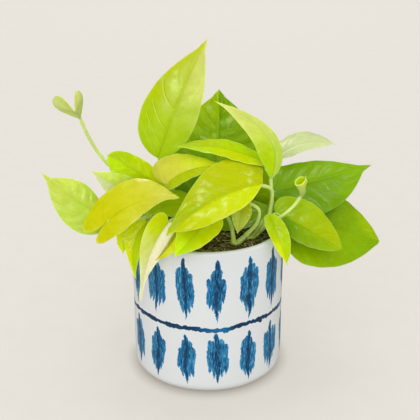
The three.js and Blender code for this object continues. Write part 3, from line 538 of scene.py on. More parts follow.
class Graph:
    """Adds nodes to one tree and joins them."""

    def __init__(self, tree):
        self.tree = tree

    def feed(self, socket, value):
        """Joins a socket to the given one, or sets its value. None leaves it as it is."""
        if isinstance(value, bpy.types.NodeSocket):
            self.tree.links.new(value, socket)
        elif value is not None:
            socket.default_value = value

    def add(self, kind, *values, **settings):
        """Adds a node and fills its first inputs in order."""
        node = self.tree.nodes.new(kind)
        for key, value in settings.items():
            setattr(node, key, value)
        for socket, value in zip(node.inputs, values):
            self.feed(socket, value)
        return node

    def fill(self, node, values):
        """Feeds the inputs of a node, each found by its name or number, and gives its outputs."""
        for key, value in values.items():
            self.feed(node.inputs[key], value)
        return node.outputs

    def math(self, operation, *values):
        """The result of a Math node."""
        return self.add("ShaderNodeMath", *values, operation=operation).outputs[0]

    def total(self, *terms):
        """The sum of several values."""
        result = terms[0]
        for term in terms[1:]:
            result = self.math("ADD", result, term)
        return result

    def minus(self, first, second):
        """The first value less the second."""
        return self.math("SUBTRACT", first, second)

    def product(self, *factors):
        """The product of several values."""
        result = factors[0]
        for factor in factors[1:]:
            result = self.math("MULTIPLY", result, factor)
        return result

    def span(self, value, low, high, start=0.0, end=1.0):
        """A smooth change from start to end as the value goes from low to high."""
        node = self.add("ShaderNodeMapRange", value, low, high, start, end)
        node.interpolation_type = "SMOOTHSTEP"
        return node.outputs[0]

    def blend(self, factor, first, second):
        """Two colours mixed."""
        node = self.add("ShaderNodeMix", data_type="RGBA")
        self.fill(node, {0: factor, 6: first, 7: second})
        return node.outputs[2]

    def tuned(self, tone, hue, saturation, value):
        """A colour with its hue shifted and its saturation and brightness scaled."""
        return self.add("ShaderNodeHueSaturation", hue, saturation, value, 1.0, tone).outputs[0]

    def noise(self, vector, scale, detail=2.0, roughness=0.5):
        """A noise value near 0.5 that changes over the surface."""
        return self.add("ShaderNodeTexNoise", vector, None, scale, detail, roughness).outputs[0]

    def parts(self, vector):
        """The three parts of a vector."""
        return self.add("ShaderNodeSeparateXYZ", vector).outputs

    def join(self, x=0.0, y=0.0, z=0.0):
        """A vector of three values."""
        return self.add("ShaderNodeCombineXYZ", x, y, z).outputs[0]

    def scaled(self, vector, factors):
        """A vector with each part scaled, by one value or by a vector's parts."""
        if getattr(factors, "type", "") == "VALUE":
            factors = self.join(factors, factors, factors)
        return self.add("ShaderNodeVectorMath", vector, factors, operation="MULTIPLY").outputs[0]

    def from_axis(self, x, y):
        """The distance of a place from the upright axis."""
        return self.math("SQRT", self.total(self.product(x, x), self.product(y, y)))

    def attribute(self, name):
        """A value that the mesh carries."""
        return self.add("ShaderNodeAttribute", attribute_name=name).outputs["Fac"]


def new_group(name, kind, inputs, outputs):
    """A node group with named sockets, its graph, its input sockets and its output node."""
    tree = bpy.data.node_groups.new(name, kind)
    for direction, sockets in (("INPUT", inputs), ("OUTPUT", outputs)):
        for label, sort in sockets.items():
            tree.interface.new_socket(name=label, in_out=direction, socket_type="NodeSocket" + sort)
    graph = Graph(tree)
    return tree, graph, graph.add("NodeGroupInput").outputs, graph.add("NodeGroupOutput").inputs


def place_group(graph, tree, values):
    """Places a shader group in a material with its own values."""
    return graph.fill(graph.add("ShaderNodeGroup", node_tree=tree), values)


def new_material(name):
    """A material with a Principled surface, its graph and its output node."""
    material = bpy.data.materials.new(name)
    material.use_nodes = True
    material.node_tree.nodes.clear()
    graph = Graph(material.node_tree)
    surface = graph.add("ShaderNodeBsdfPrincipled")
    output = graph.add("ShaderNodeOutputMaterial", surface.outputs[0])
    return material, graph, surface, output


def raise_surface(graph, surface, height, strength=1.0):
    """Gives a surface relief from a height in millimetres."""
    bump = graph.add("ShaderNodeBump", strength, MM)
    graph.feed(bump.inputs["Height"], height)
    graph.feed(surface.inputs["Normal"], bump.outputs[0])


def grown_mesh(owner, tree, inputs, name):
    """Makes a plain mesh object of what a Geometry Nodes tree grows from its owner, and removes that."""
    modifier = owner.modifiers.new("grow", "NODES")
    modifier.node_group = tree
    for item in tree.interface.items_tree:
        if item.in_out == "INPUT" and item.name in inputs:
            modifier[item.identifier] = inputs[item.name]
    graph = bpy.context.evaluated_depsgraph_get()
    mesh = bpy.data.meshes.new_from_object(owner.evaluated_get(graph), preserve_all_data_layers=True,
                                           depsgraph=graph)
    owner.modifiers.clear()
    bpy.data.objects.remove(owner)
    mesh.name = name
    return place_mesh(name, mesh)


def place_mesh(name, mesh):
    """Puts a mesh in the scene as an object at the origin."""
    piece = bpy.data.objects.new(name, mesh)
    bpy.context.scene.collection.objects.link(piece)
    return piece


def stand_for(piece, node):
    """Puts a piece under the root body and hides the node of the frame that it stands for."""
    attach(piece, "root")
    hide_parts(node)


def arc(centre, radius, start, end, steps):
    """Points on an arc between two angles in degrees."""
    angles = np.radians(np.linspace(start, end, steps))
    return [(centre[0] + radius * np.cos(a), centre[1] + radius * np.sin(a)) for a in angles]


def pot_profile(pot):
    """The pot's section from the middle of its underside, over the lip, to the middle of its floor."""
    inner = pot.radius - pot.wall
    ring = pot.radius - pot.foot
    corner = POT_INNER_ROUNDING * MM
    floor = POT_FLOOR * MM
    shoulder = pot.height - pot.lip
    points = [(0.0, pot.recess), (0.5 * ring, pot.recess), (ring - RING_WIDTH * MM, pot.recess)]
    points += [(ring - RING_BEND * MM, RING_BEND_HEIGHT * MM), (ring - RING_FLAT * MM, 0.0)]
    points += arc((ring, pot.foot), pot.foot, -90, 0, 14)
    points += [(pot.radius, z) for z in np.linspace(pot.foot, shoulder, 60)[1:-1]]
    points += arc((pot.radius - pot.lip, shoulder), pot.lip, 0, 90, 8)
    points += arc((inner + pot.lip, shoulder), pot.lip, 90, 180, 8)
    points += [(inner, z) for z in np.linspace(shoulder, floor + corner, 12)[1:-1]]
    points += arc((inner - corner, floor + corner), corner, 0, -90, 6)
    points += [(0.5 * inner, floor), (0.0, floor)]
    return points


def turned_tree():
    """Geometry Nodes that turn a section round the upright axis, with the stray of a thrown wall."""
    tree, graph, given, result = new_group(
        "turned_wall", "GeometryNodeTree",
        {"Section": "Geometry", "Sides": "Int", "Rows": "Int", "Wobble": "Float",
         "Material": "Material"},
        {"Wall": "Geometry"})
    across = graph.math("ADD", given["Sides"], 1.0)
    grid = graph.add("GeometryNodeMeshGrid", 1.0, 1.0, across, given["Rows"])
    kept = graph.add("GeometryNodeStoreNamedAttribute", data_type="FLOAT2", domain="CORNER")
    graph.fill(kept, {"Geometry": grid.outputs["Mesh"], "Name": "turn",
                      "Value": grid.outputs["UV Map"]})
    spot = graph.add("GeometryNodeInputPosition").outputs[0]
    u, v, _ = graph.parts(spot)
    row = graph.math("ROUND", graph.product(graph.math("ADD", v, 0.5), graph.minus(given["Rows"], 1.0)))
    sample = graph.add("GeometryNodeSampleIndex", data_type="FLOAT_VECTOR", domain="POINT")
    graph.fill(sample, {"Geometry": given["Section"], "Value": spot, "Index": row})
    radius, _, height = graph.parts(sample.outputs[0])
    angle = graph.product(u, 2 * np.pi)
    sine = graph.math("SINE", angle)
    cosine = graph.product(graph.math("COSINE", angle), -1.0)
    stray = graph.noise(graph.join(sine, cosine, graph.product(height, 12.0)), 1.1, 1.0)
    inwards = graph.product(graph.span(stray, 0.3, 0.7, -1.0, 0.0), given["Wobble"],
                            graph.span(radius, 0.03, 0.055))
    reach = graph.math("ADD", radius, inwards)
    place = graph.join(graph.product(reach, sine), graph.product(reach, cosine), height)
    moved = graph.add("GeometryNodeSetPosition", kept.outputs[0], None, place)
    closed = graph.add("GeometryNodeMergeByDistance", moved.outputs[0], None, 1e-6)
    smooth = graph.add("GeometryNodeSetShadeSmooth", closed.outputs[0])
    real = graph.add("GeometryNodeRealizeInstances", smooth.outputs[0])
    final = graph.add("GeometryNodeSetMaterial", real.outputs[0])
    graph.feed(final.inputs["Material"], given["Material"])
    graph.feed(result["Wall"], final.outputs[0])
    return tree


def stroke_group():
    """A shader group for one bristle stroke: how deep a place lies inside it, and its tone.

    Level is 0 for the middle stroke of a dab, and 1 and 2 for the shorter ones beside it. Lengths are in
    millimetres.
    """
    tree, graph, given, result = new_group(
        "brush_stroke", "ShaderNodeTree",
        {"Across": "Float", "Up": "Float", "Half": "Float", "Level": "Float", "Index": "Float",
         "Mark": "Float"},
        {"Depth": "Float", "Tone": "Float"})
    luck = graph.add("ShaderNodeTexWhiteNoise", noise_dimensions="3D")
    graph.feed(luck.inputs[0], graph.join(given["Index"], given["Mark"], 0.5))
    above, below, tone = graph.add("ShaderNodeSeparateColor", luck.outputs["Color"]).outputs
    level = given["Level"]
    kept = graph.minus(graph.span(level, 0.0, 1.0, 1.0, 0.82), graph.span(level, 1.0, 2.0, 0.0, 0.1))
    spare = graph.total(graph.span(level, 0.0, 1.0, 0.04, 0.2), graph.span(level, 1.0, 2.0, 0.0, 0.16))
    top = graph.product(graph.minus(kept, graph.product(above, spare)), given["Half"])
    bottom = graph.product(graph.minus(kept, graph.product(below, spare)), given["Half"])
    middle = graph.product(graph.minus(top, bottom), 0.5)
    reach = graph.product(graph.math("ADD", top, bottom), 0.5)
    along = graph.math("DIVIDE", graph.minus(given["Up"], middle), reach)
    upper = graph.math("POWER", graph.math("MAXIMUM", along, 0.0), 7.0)
    round_top = graph.math("SQRT", graph.math("MAXIMUM", graph.minus(1.0, upper), 0.0))
    lower = graph.math("POWER", graph.math("MAXIMUM", graph.product(along, -1.0), 0.0), 3.0)
    width = graph.product(graph.span(tone, 0.0, 1.0, *STROKE_HALF), round_top, graph.minus(1.0, lower))
    lean = graph.product(graph.minus(above, below), graph.math("ADD", graph.product(along, 0.7), 0.3))
    aside = graph.math("ABSOLUTE", graph.math("ADD", given["Across"], lean))
    graph.feed(result["Depth"], graph.minus(width, aside))
    graph.feed(result["Tone"], tone)
    return tree


def dab_group():
    """A shader group for one ring of brush dabs, each of five bristle strokes side by side.

    Turn runs from 0 to 1 round the pot, and the other lengths are in millimetres.
    """
    tree, graph, given, result = new_group(
        "brush_dabs", "ShaderNodeTree",
        {"Turn": "Float", "Height": "Float", "Count": "Float", "Pitch": "Float", "Middle": "Float",
         "Half": "Float", "Seed": "Float"},
        {"Mask": "Float", "Rim": "Float", "Core": "Float", "Seam": "Float", "Tone": "Float"})
    place = graph.math("ADD", graph.product(given["Turn"], given["Count"]), DAB_START)
    cell = graph.math("FLOORED_MODULO", graph.math("FLOOR", place), given["Count"])
    chance = graph.add("ShaderNodeTexWhiteNoise", noise_dimensions="2D")
    graph.feed(chance.inputs[0], graph.join(cell, given["Seed"]))
    first, second, third = graph.add("ShaderNodeSeparateColor", chance.outputs["Color"]).outputs
    x = graph.product(graph.minus(graph.math("FRACT", place), 0.5), given["Pitch"])
    x = graph.math("ADD", x, graph.span(first, 0.0, 1.0, -0.9, 0.9))
    y = graph.math("ADD", given["Middle"], graph.span(second, 0.0, 1.0, -1.2, 1.2))
    y = graph.minus(given["Height"], y)
    mark = graph.math("ADD", graph.product(cell, 3.7), given["Seed"])
    sway = graph.noise(graph.join(graph.product(y, 0.07), mark), 1.0, 0.0)
    jag = graph.noise(graph.join(graph.product(x, 0.6), graph.product(y, 0.4), mark), 1.0, 3.0, 0.55)
    x = graph.total(x, graph.span(sway, 0.25, 0.75, -0.8, 0.8), graph.span(jag, 0.2, 0.8, -0.5, 0.5))
    spacing = graph.span(third, 0.0, 1.0, *STROKE_SPACING)
    strokes = stroke_group()
    depth, tone, seam = -9.0, 0.0, 0.0
    for index in (-2, 2, -1, 1, 0):
        stroke = place_group(graph, strokes, {
            "Across": graph.minus(x, graph.product(spacing, float(index))), "Up": y,
            "Half": given["Half"], "Level": float(abs(index)), "Index": float(index), "Mark": mark})
        nearer = graph.math("GREATER_THAN", stroke["Depth"], depth)
        tone = graph.add("ShaderNodeMix", nearer, None, tone, stroke["Tone"]).outputs[0]
        depth = graph.math("MAXIMUM", depth, stroke["Depth"])
        rim = graph.span(graph.math("ABSOLUTE", stroke["Depth"]), 0.5, 0.0)
        seam = graph.math("MAXIMUM", seam, rim)
    graph.feed(result["Mask"], graph.span(depth, 0.0, 0.3))
    graph.feed(result["Rim"], graph.span(depth, 0.9, 0.1))
    graph.feed(result["Core"], graph.span(stroke["Depth"], 0.2, 1.2))
    graph.feed(result["Seam"], graph.product(seam, graph.span(depth, 0.3, 0.9)))
    graph.feed(result["Tone"], tone)
    return tree


def glaze_material(pot):
    """White glaze with brushed blue dabs and band under it, and bare clay on the foot ring."""
    material, graph, surface, _ = new_material("glaze_with_brushwork")
    where = graph.add("ShaderNodeTexCoord").outputs["Object"]
    turn, _, _ = graph.parts(graph.add("ShaderNodeUVMap", uv_map="turn").outputs[0])
    x, y, z = graph.parts(where)
    height = graph.product(z, 1 / MM)
    outside = graph.minus(graph.from_axis(x, y), pot.radius - 0.5 * pot.wall)
    painted = graph.span(outside, 0.0, 0.0005)
    band = pot.band / MM
    upper = graph.math("GREATER_THAN", height, band)
    dabs = place_group(graph, dab_group(), {
        "Turn": graph.minus(turn, 0.5), "Height": height, "Count": float(pot.dabs),
        "Pitch": 2 * np.pi * pot.radius / pot.dabs / MM,
        "Middle": graph.span(upper, 0.0, 1.0, *ROW_MIDDLE),
        "Half": graph.span(upper, 0.0, 1.0, *ROW_HALF),
        "Seed": graph.span(upper, 0.0, 1.0, *ROW_SEED),
    })
    drift = graph.noise(where, 26.0, 1.0)
    fray = graph.noise(where, 300.0, 3.0)
    thick = graph.noise(where, 60.0, 2.0)
    line = graph.total(height, graph.span(drift, 0.3, 0.7, -1.3, 1.3),
                       graph.span(fray, 0.2, 0.8, -0.9, 0.9))
    blob = graph.product(graph.span(graph.noise(where, 75.0, 1.0), 0.66, 0.78, 0.0, 1.6),
                         graph.math("LESS_THAN", line, band))
    reach = graph.minus(graph.math("ADD", graph.span(thick, 0.3, 0.7, *BAND_HALF), blob),
                        graph.math("ABSOLUTE", graph.minus(line, band)))
    band_mask = graph.span(reach, 0.0, 0.3)
    lanes = graph.join(graph.product(turn, 620.0), graph.product(height, 0.16), upper)
    streak = graph.noise(lanes, 1.0, 3.0, 0.6)
    blot = graph.noise(where, 95.0, 3.0)
    fine = graph.noise(graph.join(graph.product(turn, 2300.0), graph.product(height, 0.9)), 1.0, 2.0)
    dark = graph.total(graph.span(streak, 0.4, 0.62, 0.0, 0.5), graph.span(blot, 0.35, 0.7, 0.0, 0.25),
                       graph.product(dabs["Core"], 0.4), graph.product(dabs["Seam"], 0.4))
    paint = graph.blend(graph.span(dark, 0.1, 0.9), pot.blue, pot.navy)
    pale = graph.total(graph.product(graph.span(fine, 0.5, 0.7), 0.25), graph.product(dabs["Rim"], 0.35),
                       graph.span(streak, 0.5, 0.36, 0.0, 0.55), graph.product(dabs["Tone"], 0.25),
                       graph.product(dabs["Core"], -0.35))
    paint = graph.blend(graph.span(pale, 0.1, 0.95), paint, pot.wash)
    ink = graph.blend(graph.span(graph.noise(where, 30.0, 3.0), 0.5, 0.7, 0.0, 0.8), pot.navy, pot.blue)
    paint = graph.blend(band_mask, paint, ink)
    cover = graph.math("MAXIMUM", dabs["Mask"], band_mask)
    thin = graph.span(fine, 0.2, 0.4, 0.85, 1.0)
    cover = graph.product(cover, painted, graph.math("MAXIMUM", thin, band_mask))
    shade = graph.noise(where, 35.0, 4.0)
    glaze = graph.blend(graph.span(shade, 0.3, 0.75, 0.0, 0.35), pot.glaze, pot.cloud)
    foot = graph.product(graph.span(height, 0.9, 0.4), graph.span(outside, -0.002, -0.006))
    glaze = graph.blend(foot, glaze, pot.clay)
    rough = graph.total(0.24, graph.product(shade, 0.12), graph.product(cover, 0.06),
                        graph.product(foot, 0.4))
    graph.fill(surface, {
        "Base Color": graph.blend(cover, glaze, paint), "Roughness": rough,
        "Coat Weight": graph.span(foot, 0.0, 1.0, 0.05, 0.0), "Coat Roughness": 0.12,
        "Specular IOR Level": 0.25,
    })
    waves = graph.noise(where, 70.0, 2.0)
    pits = graph.noise(where, 900.0, 2.0)
    raise_surface(graph, surface, graph.total(graph.product(waves, 0.35), graph.product(pits, 0.015),
                                              graph.product(cover, 0.03)), 0.5)
    return material


class POTHOS_OT_pot(bpy.types.Operator):
    """Makes the glazed pot with its brushwork"""

    bl_idname = "pothos.pot"
    bl_label = "Pot"

    def execute(self, context):
        pot = context.scene.pothos_pot
        points = pot_profile(pot)
        edges = [(k, k + 1) for k in range(len(points) - 1)]
        section = bpy.data.meshes.new("section")
        section.from_pydata([(r, 0.0, z) for r, z in points], edges, [])
        piece = grown_mesh(place_mesh("section", section), turned_tree(), {
            "Sides": pot.sides, "Rows": len(points), "Wobble": pot.wobble,
            "Material": glaze_material(pot),
        }, "glazed_pot")
        stand_for(piece, "pot")
        return {"FINISHED"}


def soil_height(x, y, radius):
    """Height of the mix at a place, in millimetres: a low crown with humps and small crumbs."""
    crown = SOIL_CROWN * (1 - (x * x + y * y) / radius ** 2)
    humps = np.sin(x * 0.42 + 1.3) * np.cos(y * 0.37) + np.sin(x * 0.21 - y * 0.3)
    crumbs = np.sin(x * 1.9 + y * 0.7) * np.sin(y * 1.6 - x * 0.5)
    crumbs = crumbs + np.sin(x * 3.1 + 2.0) * np.sin(y * 2.7)
    return SOIL_LEVEL + crown + SOIL_RELIEF * humps + SOIL_CRUMB * crumbs


def soil_mesh(pot):
    """The body of the mix: rings of its top from the middle outwards, then its side and its bottom."""
    radius = (pot.radius - pot.wall) / MM - SEAT_GAP
    sides = SOIL_SIDES
    angles = np.linspace(0, 2 * np.pi, sides, endpoint=False)
    floor = POT_FLOOR + SEAT_GAP
    rings = [(radius * k / SOIL_RINGS, None) for k in range(1, SOIL_RINGS + 1)]
    rings += [(radius, SOIL_SKIRT), (radius, floor + SOIL_EDGE), (radius - SOIL_EDGE, floor)]
    points = [(0.0, 0.0, float(soil_height(0.0, 0.0, radius)))]
    for reach, height in rings:
        x, y = reach * np.cos(angles), reach * np.sin(angles)
        z = soil_height(x, y, radius) if height is None else np.full(sides, height)
        points += list(zip(x, y, z))
    points.append((0.0, 0.0, floor))
    following = [(k, (k + 1) % sides) for k in range(sides)]
    faces = [(0, 1 + k, 1 + n) for k, n in following]
    for ring in range(len(rings) - 1):
        inner, outer = 1 + ring * sides, 1 + (ring + 1) * sides
        faces += [(inner + k, outer + k, outer + n, inner + n) for k, n in following]
    last = 1 + (len(rings) - 1) * sides
    faces += [(last + n, last + k, len(points) - 1) for k, n in following]
    mesh = bpy.data.meshes.new("mix_body")
    mesh.from_pydata([tuple(c * MM for c in point) for point in points], [], faces)
    mesh.shade_smooth()
    return mesh


def scattered(graph, surface, top, density, shapes, size, least, tilt, seed, material):
    """Scatters shapes over the chosen faces of a surface, each with a chance value of its own.

    least is the smallest size as a share of the largest, and tilt how far a shape may lean, in radians.
    """
    spread = graph.add("GeometryNodeDistributePointsOnFaces", surface, top)
    graph.fill(spread, {"Density": density, "Seed": seed})
    turn = graph.add("FunctionNodeRandomValue", (-tilt, -tilt, -np.pi), (tilt, tilt, np.pi),
                     data_type="FLOAT_VECTOR")
    graph.feed(turn.inputs["Seed"], seed)
    grow = graph.add("FunctionNodeRandomValue", data_type="FLOAT")
    graph.fill(grow, {2: least, 3: 1.0, "Seed": graph.math("ADD", seed, 5.0)})
    pick = graph.add("FunctionNodeRandomValue", data_type="INT")
    graph.fill(pick, {4: 0, 5: len(shapes) - 1, "Seed": graph.math("ADD", seed, 9.0)})
    family = graph.add("GeometryNodeGeometryToInstance")
    for shape in shapes:
        graph.tree.links.new(shape, family.inputs[0])
    scale = graph.product(grow.outputs[1], size)
    placed = graph.add("GeometryNodeInstanceOnPoints", spread.outputs["Points"])
    graph.fill(placed, {
        "Instance": family.outputs[0], "Pick Instance": True, "Instance Index": pick.outputs[2],
        "Rotation": turn.outputs[0], "Scale": graph.join(scale, scale, scale),
    })
    luck = graph.add("FunctionNodeRandomValue", data_type="FLOAT")
    graph.feed(luck.inputs["Seed"], graph.math("ADD", seed, 14.0))
    marked = graph.add("GeometryNodeStoreNamedAttribute", placed.outputs[0], data_type="FLOAT",
                       domain="INSTANCE")
    graph.fill(marked, {"Name": "chance", "Value": luck.outputs[1]})
    real = graph.add("GeometryNodeRealizeInstances", marked.outputs[0])
    final = graph.add("GeometryNodeSetMaterial", real.outputs[0])
    graph.feed(final.inputs["Material"], material)
    return final.outputs[0]


def chip_shape(graph, proportions, start):
    """A rough flake of bark."""
    ball = graph.add("GeometryNodeMeshIcoSphere", 1.0, 2)
    place = graph.add("GeometryNodeInputPosition").outputs[0]
    moved = graph.add("ShaderNodeVectorMath", place, (start, 0.0, 0.0)).outputs[0]
    grow = graph.span(graph.noise(moved, 1.3, 2.0), 0.2, 0.8, 0.55, 1.35)
    rough = graph.scaled(graph.scaled(place, proportions), grow)
    return graph.add("GeometryNodeSetPosition", ball.outputs[0], None, rough).outputs[0]


def thread_shape(graph, middle, end, thickness):
    """A bent coir thread, two long from end to end, with closed ends."""
    bend = graph.add("GeometryNodeCurveQuadraticBezier", 6, (-1.0, 0.0, -0.05), middle, end)
    section = graph.add("GeometryNodeCurvePrimitiveCircle", 4)
    section.inputs["Radius"].default_value = thickness
    sweep = graph.add("GeometryNodeCurveToMesh", bend.outputs[0], section.outputs[0], None, True)
    return sweep.outputs[0]


def litter_tree():
    """Geometry Nodes that scatter bark chips and coir threads over the top of the mix."""
    tree, graph, given, result = new_group(
        "mix_litter", "GeometryNodeTree",
        {"Body": "Geometry", "Clear": "Float", "Chips": "Float", "Chip": "Float", "Threads": "Float",
         "Thread": "Float", "Seed": "Int", "Bark": "Material", "Coir": "Material"},
        {"Mix": "Geometry"})
    _, _, facing = graph.parts(graph.add("GeometryNodeInputNormal").outputs[0])
    x, y, height = graph.parts(graph.add("GeometryNodeInputPosition").outputs[0])
    inside = graph.math("LESS_THAN", graph.from_axis(x, y), given["Clear"])
    top = graph.product(graph.math("GREATER_THAN", facing, 0.5),
                        graph.math("GREATER_THAN", height, 0.1), inside)
    chips = [chip_shape(graph, *chip) for chip in CHIPS]
    threads = [thread_shape(graph, *thread) for thread in THREADS]
    bark = scattered(graph, given["Body"], top, given["Chips"], chips, given["Chip"], 0.25, 0.5,
                     given["Seed"], given["Bark"])
    coir = scattered(graph, given["Body"], top, given["Threads"], threads, given["Thread"], 0.35, 0.16,
                     graph.math("ADD", given["Seed"], 30.0), given["Coir"])
    body = graph.add("GeometryNodeSetMaterial", given["Body"])
    graph.feed(body.inputs["Material"], given["Bark"])
    everything = graph.add("GeometryNodeJoinGeometry")
    for shape in (coir, bark, body.outputs[0]):
        graph.tree.links.new(shape, everything.inputs[0])
    graph.feed(result["Mix"], everything.outputs[0])
    return tree


def crumbly_material(name, dark, light, rough):
    """Damp, crumbly bark or dry coir, of two colours that vary from piece to piece."""
    material, graph, surface, _ = new_material(name)
    where = graph.add("ShaderNodeTexCoord").outputs["Object"]
    blot = graph.noise(where, 420.0, 4.0, 0.6)
    grit = graph.noise(where, 2600.0, 2.0)
    level = graph.total(graph.product(graph.attribute("chance"), 0.6), graph.product(blot, 0.9), -0.35)
    tint = graph.blend(graph.span(level, 0.1, 0.9), dark, light)
    tint = graph.blend(graph.span(grit, 0.35, 0.7, 0.0, 0.5), tint, dark)
    graph.fill(surface, {
        "Base Color": tint, "Roughness": graph.span(blot, 0.3, 0.7, rough - 0.12, rough),
        "Specular IOR Level": 0.15,
    })
    raise_surface(graph, surface, graph.total(graph.product(blot, 0.5), graph.product(grit, 0.12)))
    return material


class POTHOS_OT_mix(bpy.types.Operator):
    """Makes the potting mix with its bark chips and coir threads"""

    bl_idname = "pothos.mix"
    bl_label = "Potting mix"

    def execute(self, context):
        mix = context.scene.pothos_mix
        pot = context.scene.pothos_pot
        body = place_mesh("mix_body", soil_mesh(pot))
        piece = grown_mesh(body, litter_tree(), {
            "Clear": pot.radius - pot.wall - 0.5 * mix.thread,
            "Chips": float(mix.chips), "Chip": mix.chip,
            "Threads": float(mix.threads), "Thread": mix.thread, "Seed": mix.seed,
            "Bark": crumbly_material("damp_bark", mix.bark, mix.crumb, 0.9),
            "Coir": crumbly_material("dry_coir", mix.crumb, mix.coir, 0.85),
        }, "potting_mix_litter")
        stand_for(piece, "potting_mix")
        return {"FINISHED"}


def unit(vectors):
    """The vectors at length one."""
    return vectors / np.maximum(np.linalg.norm(vectors, axis=-1, keepdims=True), 1e-12)


def outline(leaf, t, side):
    """Share of the widest reach at t along the midrib, for one side."""
    shoulder, point, drip = leaf["shoulder"][side], leaf["point"][side], leaf["drip"]
    u = np.minimum(t / (1 - drip), 1.0)
    widest = shoulder / (shoulder + point)
    body = u ** shoulder * (1 - u) ** point / (widest ** shoulder * (1 - widest) ** point)
    thread = DRIP_WIDTH * np.sqrt(t) * np.minimum(1.0, (1 - t) / drip) if drip else 0.0
    return np.hypot(body, thread)


def midrib(leaf, t):
    """Point, direction, up and right of the midrib at each t, and the leaf's length."""
    base, middle, tip, face = (np.array(leaf[key], float) for key in ("base", "mid", "tip", "face"))
    t = np.asarray(t, float)[..., None]
    control = 2 * middle - 0.5 * (base + tip)
    point = (1 - t) ** 2 * base + 2 * t * (1 - t) * control + t ** 2 * tip
    along = unit(2 * (1 - t) * (control - base) + 2 * t * (tip - control))
    up = unit(face - along * (along @ face)[..., None])
    return point, along, up, np.cross(along, up), np.linalg.norm(base - tip)


def blade_surface(leaf, t, s, ripple):
    """Middle surface of a blade at a grid of t and s, the width of its half there, and its up side.

    t runs from 0 to 1 along the midrib, and s from -1 at the left edge to 1 at the right one.
    """
    point, along, up, right, long = midrib(leaf, t)
    reach = np.abs(s)
    right_half = s > 0

    def by_side(name):
        return np.where(right_half, leaf[name][1], leaf[name][0])

    part = np.where(right_half, outline(leaf, t, 1), outline(leaf, t, 0))
    width = by_side("half") * part
    across = np.zeros_like(t)
    rise = np.zeros_like(t)
    for k in range(CROSS_STEPS):
        r = reach * (k + 0.5) / CROSS_STEPS
        turned = np.radians(by_side("fold") + by_side("curl") * r ** leaf["scroll"])
        across += width * reach * np.cos(turned) / CROSS_STEPS
        rise += width * reach * np.sin(turned) / CROSS_STEPS
    height, cycles, phase = leaf["wave"]
    swing = 2 * np.pi * (cycles * t + phase) + right_half * WAVE_LAG
    rise += height * reach ** 2 * part * np.sin(swing)
    if height:
        swing = 2 * np.pi * (3.1 * cycles * t + 2.3 * phase) + right_half
        rise += ripple * reach ** 3 * part * np.sin(swing)
    back = by_side("heart") * long * np.sqrt(part) * reach ** 1.2 * (1 - t) ** 5
    place = point + right * (np.sign(s) * across)[..., None] + up * rise[..., None]
    return place - along * back[..., None], width, up


def vein_phase(look, t, s):
    """A value that is whole along each side vein. The veins leave the midrib and arch to the tip."""
    arch = VEIN_ARCH * np.abs(s) ** 1.35
    return look["pairs"] * (t - arch) + np.where(s > 0, 0.5, 0.0) + VEIN_STRAY * np.sin(9 * t + 4 * s)


def blade_faces(poles, columns):
    """The faces of a blade over a grid of points: its upper side, its underside and the rim.

    poles says which rows of the grid fall on one point. Gives the points of each face by number, with
    those of the underside after all those above, the row, the column and the half of each corner, and
    the kind of each face.
    """
    rows = len(poles)
    numbers = np.arange(rows * columns).reshape(rows, columns)
    centre, last = columns // 2, columns - 1
    numbers[poles] = numbers[poles, centre][:, None]
    faces, corners, kinds = [], [], []

    def add(kind, *places):
        loop = {}
        for i, j, level in places:
            loop.setdefault(int(numbers[i, j]) + level * rows * columns, (i, j))
        if len(loop) > 2:
            right = max(j for _, j in loop.values()) > centre
            faces.append(list(loop))
            corners.extend((i, j, right) for i, j in loop.values())
            kinds.append(kind)

    def add_rim(first, second):
        add("rim", (*first, 0), (*first, 1), (*second, 1), (*second, 0))

    for i in range(rows - 1):
        for j in range(last):
            add("above", (i, j, 0), (i, j + 1, 0), (i + 1, j + 1, 0), (i + 1, j, 0))
            add("below", (i, j, 1), (i + 1, j, 1), (i + 1, j + 1, 1), (i, j + 1, 1))
        add_rim((i + 1, 0), (i, 0))
        add_rim((i, last), (i + 1, last))
    if not poles[-1]:
        for j in range(last):
            add_rim((rows - 1, j + 1), (rows - 1, j))
    return faces, corners, kinds


